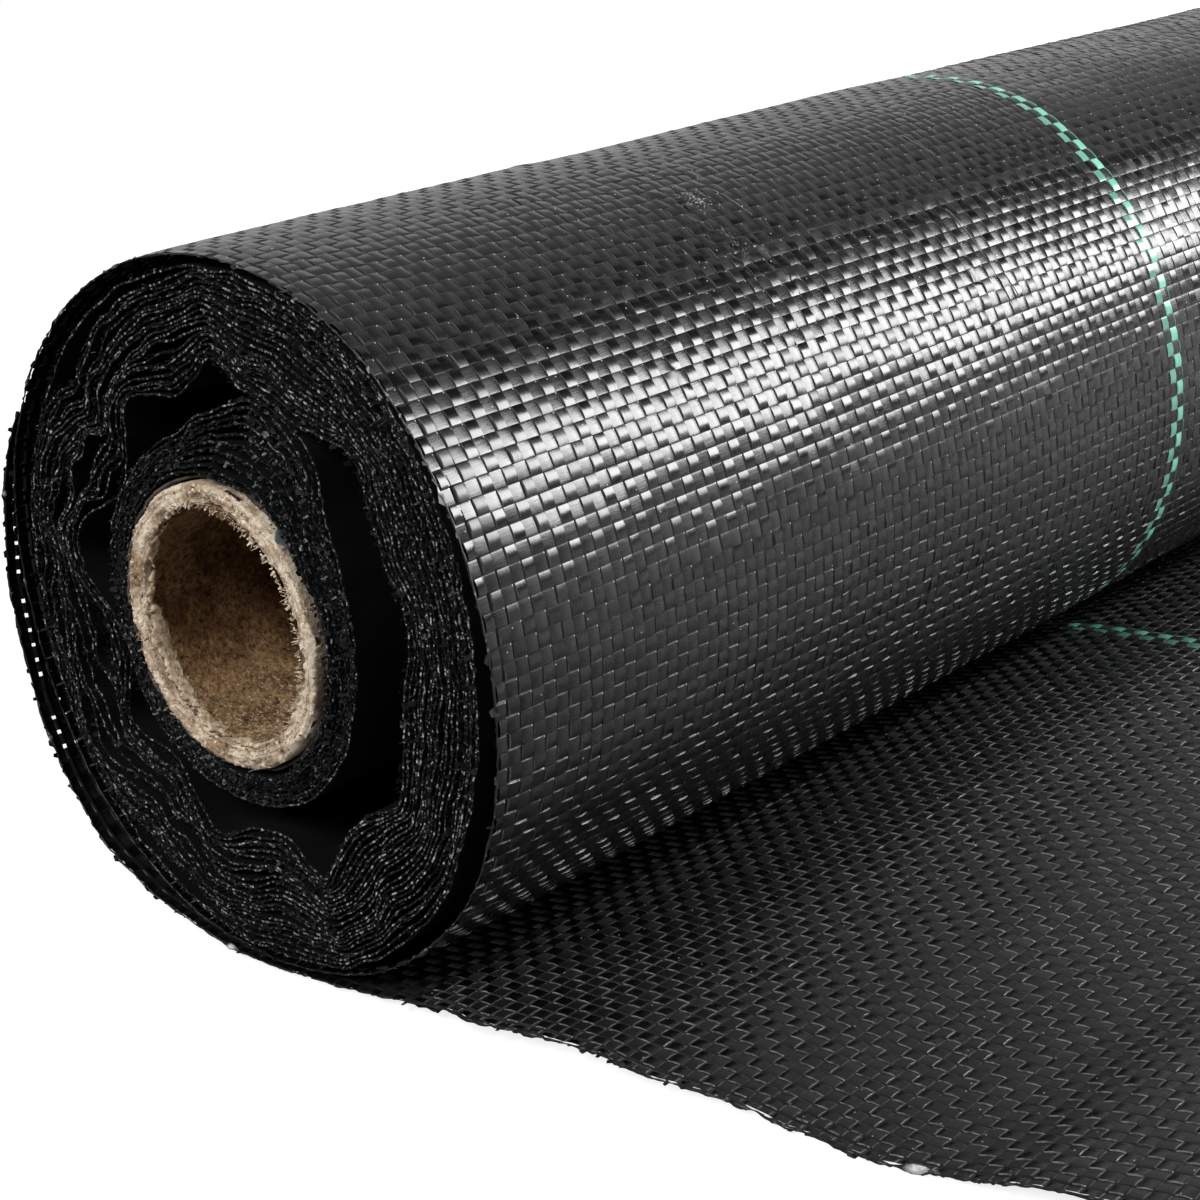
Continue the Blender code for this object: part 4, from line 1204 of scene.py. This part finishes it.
def body_profile(angle):
    radius, y = [], []
    shares = np.linspace(0.0, 1.0, 15)
    for end in (-1.0, 1.0):
        for share in shares if end < 0 else shares[::-1]:
            # share 0 is the outside of the cut, 1 the inside
            r = (23.32 - 3.45 * share) * MM
            rise = 0.50 * MM * circle_noise(angle, 5.0, share * 3.0 + end, 131.0)
            rise = rise + 0.38 * MM * circle_noise(angle, 22.0, share * 9.0 + end, 132.0)
            rise = rise + 0.26 * MM * circle_noise(angle, 70.0, share * 30.0 + end, 133.0)
            # Torn away at the inner edge in some places, and rounded off at the outer.
            bite = ramp(circle_noise(angle, 6.0, end + 4.0, 135.0), -0.1, 0.6)
            rise = rise - (0.4 + 1.3 * bite) * MM * ramp(share, 0.62, 1.0) - 0.45 * MM * ramp(-share, -0.14, 0.0)
            radius.append(r + 0.15 * MM * circle_noise(angle, 60.0, share * 9.0, 134.0))
            y.append(end * np.minimum(CORE_END - 0.45 * MM + rise, CORE_END + 0.3 * MM))
        if end < 0:
            for depth in (1.2, 2.5, 5.0, 12.0, 40.0, 150.0):
                radius.append(19.87 * MM + 0.0 * angle)
                y.append(-CORE_END + depth * MM + 0.0 * angle)
            for depth in (150.0, 40.0, 12.0, 5.0, 2.5, 1.2):
                radius.append(19.87 * MM + 0.0 * angle)
                y.append(CORE_END - depth * MM + 0.0 * angle)
    for depth in (1.2, 2.5, 5.0, 20.0, 200.0):
        radius.append(23.32 * MM + 0.0 * angle)
        y.append(CORE_END - depth * MM + 0.0 * angle)
    for depth in (200.0, 20.0, 5.0, 2.5, 1.2):
        radius.append(23.32 * MM + 0.0 * angle)
        y.append(-CORE_END + depth * MM + 0.0 * angle)
    return np.array(radius), np.array(y)


def liner_profile(angle):
    radius, y = [], []
    for end in (-1.0, 1.0):
        torn = 1.5 * MM + 1.3 * MM * circle_noise(angle, 5.0, end, 141.0) + 0.6 * MM * circle_noise(angle, 24.0, end, 142.0)
        torn = torn + 0.35 * MM * circle_noise(angle, 80.0, end, 143.0)
        edge = CORE_END - np.clip(torn, 0.05 * MM, None)
        curl = 0.25 * MM * circle_noise(angle, 24.0, end, 144.0)
        outer_wall = [(19.80 * MM + 0.0 * angle, end * (edge - 2.0 * MM)), (19.78 * MM + 0.0 * angle, end * edge)]
        inner_wall = [(19.30 * MM + curl * 0.5, end * (edge + 0.02 * MM)), (19.08 * MM + curl * 0.6, end * (edge - 0.2 * MM))]
        for depth in (0.8, 1.8, 3.5, 7.0, 14.0, 30.0, 70.0, 160.0, 300.0):
            fall = math.exp(-depth / 2.0)
            inner_wall.append((19.05 * MM + curl * 0.5 * fall + 0.05 * MM * circle_noise(angle, 9.0, depth, 145.0), end * (edge - depth * MM)))
        both = outer_wall + inner_wall
        for r, yy in both if end < 0 else both[::-1]:
            radius.append(r)
            y.append(yy)
    return np.array(radius), np.array(y)


def surface_profile(angle):
    radius, y = [], []
    for end in (-1.0, 1.0):
        # Hidden among the tight turns on the right, and seen on the left.
        torn = (0.8 + 1.9 * ramp(np.cos(angle), -0.6, 0.1)) * MM + 0.45 * MM * circle_noise(angle, 8.0, end, 151.0) + 0.25 * MM * circle_noise(angle, 45.0, end, 152.0)
        edge = CORE_END - np.clip(torn, 0.0, None)
        flare = 0.05 * MM * (1.0 + circle_noise(angle, 12.0, end, 153.0))
        wall = [(24.10 * MM + 0.0 * angle, end * (edge - 30.0 * MM)), (24.10 * MM + 0.2 * flare, end * (edge - 3.0 * MM)), (24.12 * MM + 0.7 * flare, end * (edge - 1.0 * MM)),
                (24.14 * MM + flare, end * edge), (23.74 * MM + 0.8 * flare, end * (edge + 0.03 * MM)), (23.62 * MM + 0.3 * flare, end * (edge - 0.8 * MM)), (23.60 * MM + 0.0 * angle, end * (edge - 30.0 * MM))]
        for r, yy in wall if end < 0 else wall[::-1]:
            radius.append(r)
            y.append(yy)
    return np.array(radius), np.array(y)


core_body = lathe("core_plies", body_profile, BOARD)
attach(core_body, "roll")
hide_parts("core_body_plies")
core_liner = lathe("core_liner", liner_profile, KRAFT)
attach(core_liner, "roll")
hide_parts("core_liner_ply")
core_surface = lathe("core_surface", surface_profile, SURFACE)
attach(core_surface, "roll")
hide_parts("core_surface_ply")


def core_fibres(name, end):
    """Torn paper fibres standing out of the cut, most of them at its inner edge."""
    count = 700
    n = np.arange(count)
    angle = math.tau * rnd(n, 161.0 + end)
    inner = rnd(n, 162.0 + end) < 0.55
    radius = np.where(inner, 19.7 + 0.5 * rnd(n, 163.0), 20.0 + 3.4 * rnd(n, 164.0)) * MM * oval(angle)
    out = np.stack([np.cos(angle), 0.0 * angle, np.sin(angle)], axis=-1)
    around = np.stack([-np.sin(angle), 0.0 * angle, np.cos(angle)], axis=-1)
    axis = np.tile([0.0, end, 0.0], (count, 1))
    inward = np.where(inner, 0.3 + 1.2 * rnd(n, 165.0), 0.8 * (rnd(n, 166.0) - 0.5))
    tip = unit(axis - out * inward[:, None] + around * (2.2 * (rnd(n, 167.0) - 0.5))[:, None])
    wide = unit(np.cross(tip, out + around * (rnd(n, 168.0) - 0.5)[:, None]))
    thin = np.cross(wide, tip)
    length = (0.15 + 0.55 * rnd(n, 169.0) ** 2) * MM
    sizes = np.stack([(0.05 + 0.22 * rnd(n, 170.0) ** 2) * MM, 0.02 * MM + 0.0 * length, length], axis=-1)
    centres = np.stack([RX + radius * np.cos(angle), end * (CORE_END - 0.35 * MM) + 0.0 * angle, RZ + radius * np.sin(angle)], axis=-1) + tip * (length * 0.6)[:, None]
    piece = boxes(name, centres, wide, thin, tip, sizes, BOARD)
    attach(piece, "roll")


core_fibres("core_fibres_near", -1.0)
core_fibres("core_fibres_far", 1.0)


# ---------------------------------------------------------------- the start tape
def start_tape():
    """The strip that holds the web to the core. A crumpled scrap of it stands out at the near end."""
    wide = np.radians(np.linspace(18.0, 78.0, 61))
    ys = np.concatenate([[-0.5016, -0.5010, -0.5004, -0.4998, -0.4990, -0.4975, -0.495], np.linspace(-0.48, 0.499, 12)])
    scrap = bump(np.degrees(wide), 42.0, 4.0)
    rows = []
    for offset in (0.0, 0.10 * MM):
        for y in ys:
            reach = np.where(y < -0.4985, -0.4985 + (y + 0.4985) * (0.05 + 0.95 * scrap + 0.12 * noise1(np.degrees(wide) / 2.0, 181.0)), y)
            free = np.clip((-0.4985 - reach) / 0.004, 0.0, 1.0)
            radius = 24.45 * MM * oval(wide) + offset + free * (1.3 * MM * noise1(np.degrees(wide) / 3.5 + y * 300.0, 182.0) + 1.1 * MM)
            rows.append(np.stack([RX + radius * np.cos(wide), reach + 0.0 * wide, RZ + radius * np.sin(wide)], axis=-1))
    points = np.array(rows)
    many, long = len(ys), len(wide)
    index = np.arange(2 * many * long).reshape(2, many, long)
    quads = [grid_quads(many, long).reshape(-1, 4)[:, ::-1], (grid_quads(many, long).reshape(-1, 4) + many * long)]
    for at, flip in ((0, True), (many - 1, False)):
        block = np.stack([index[0, at], index[1, at]])
        q = np.stack([block[0, :-1], block[1, :-1], block[1, 1:], block[0, 1:]], axis=-1)
        quads.append(q if flip else q[:, ::-1])
    for at, flip in ((0, False), (long - 1, True)):
        block = np.stack([index[0, :, at], index[1, :, at]])
        q = np.stack([block[0, :-1], block[1, :-1], block[1, 1:], block[0, 1:]], axis=-1)
        quads.append(q if flip else q[:, ::-1])
    piece = make_mesh("start_tape_strip", points, np.concatenate(quads), None, None, TAPE, True)
    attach(piece, "roll")
    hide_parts("start_tape")


start_tape()


# ---------------------------------------------------------------- floor and light
floor_mesh = bpy.data.meshes.new("floor")
floor_mesh.from_pydata([(-4, -4, 0), (4, -4, 0), (4, 4, 0), (-4, 4, 0)], [], [(0, 1, 2, 3)])
floor = bpy.data.objects.new("floor", floor_mesh)
scene.collection.objects.link(floor)
s = Shader("floor")
s.set(Base_Color=rgb(0.24, 0.24, 0.24), Roughness=0.95)
s.main.inputs["Specular IOR Level"].default_value = 0.1
s.main.inputs["Emission Color"].default_value = (1.0, 1.0, 1.0, 1.0)
spread = s.node("ShaderNodeVectorMath", operation="LENGTH")
s.put(spread.inputs[0], s.position())
white = s.step(spread.outputs["Value"], 0.5, 2.0, 0.82, 1.0)
s.put(s.main.inputs["Emission Strength"], s.math("MULTIPLY", s.node("ShaderNodeLightPath").outputs["Is Camera Ray"], white))
floor_mesh.materials.append(s.material)

world = bpy.data.worlds.new("studio")
scene.world = world
world.use_nodes = True
nodes, links = world.node_tree.nodes, world.node_tree.links
background = nodes["Background"]
background.inputs["Color"].default_value = (1.0, 1.0, 1.0, 1.0)
seen = nodes.new("ShaderNodeLightPath")
strength = nodes.new("ShaderNodeMix")
strength.data_type = "FLOAT"
links.new(seen.outputs["Is Camera Ray"], strength.inputs[0])
strength.inputs[2].default_value = 0.04
strength.inputs[3].default_value = 1.0
links.new(strength.outputs[0], background.inputs["Strength"])


def softbox(name, at, towards, width, height, power):
    data = bpy.data.lights.new(name, "AREA")
    data.shape = "RECTANGLE"
    data.size, data.size_y = width, height
    data.energy = power
    made = bpy.data.objects.new(name, data)
    scene.collection.objects.link(made)
    direction = Vector(towards) - Vector(at)
    made.rotation_mode = "QUATERNION"
    made.location = at
    z_axis = -direction.normalized()
    y_axis = Vector((0.0, 1.0, 0.0))
    y_axis = (y_axis - z_axis * y_axis.dot(z_axis)).normalized()
    x_axis = y_axis.cross(z_axis)
    made.rotation_quaternion = Matrix((x_axis, y_axis, z_axis)).transposed().to_quaternion()
    return made


def sided(degrees, reach, y):
    """A point beside the roll, degrees round its axis from +X and reach away from it."""
    a = math.radians(degrees)
    return (RX + reach * math.cos(a), y, RZ + reach * math.sin(a))


# A big soft light on the right, reaching far behind the near end, makes the white band along the roll.
softbox("key_near", sided(29.5, 1.7, 1.2), sided(0.0, 0.0, 1.2), 0.75, 2.6, 118.0)
softbox("key_far", sided(29.5, 1.7, 3.5), sided(0.0, 0.0, 3.5), 0.75, 2.0, 44.0)
# Pale ceiling and back wall: they show in the tapes where the roll turns away.
softbox("ceiling", sided(107.0, 2.2, 2.4), sided(0.0, 0.0, 2.4), 2.3, 6.0, 18.0)
softbox("back_wall", sided(152.0, 2.3, 2.4), sided(0.0, 0.0, 2.4), 2.0, 6.0, 29.0)
softbox("front", (0.15, -2.3, 1.7), (RX, -0.4, 0.05), 1.2, 1.0, 70.0)

scene.view_settings.view_transform = "Standard"
scene.view_settings.look = "None"
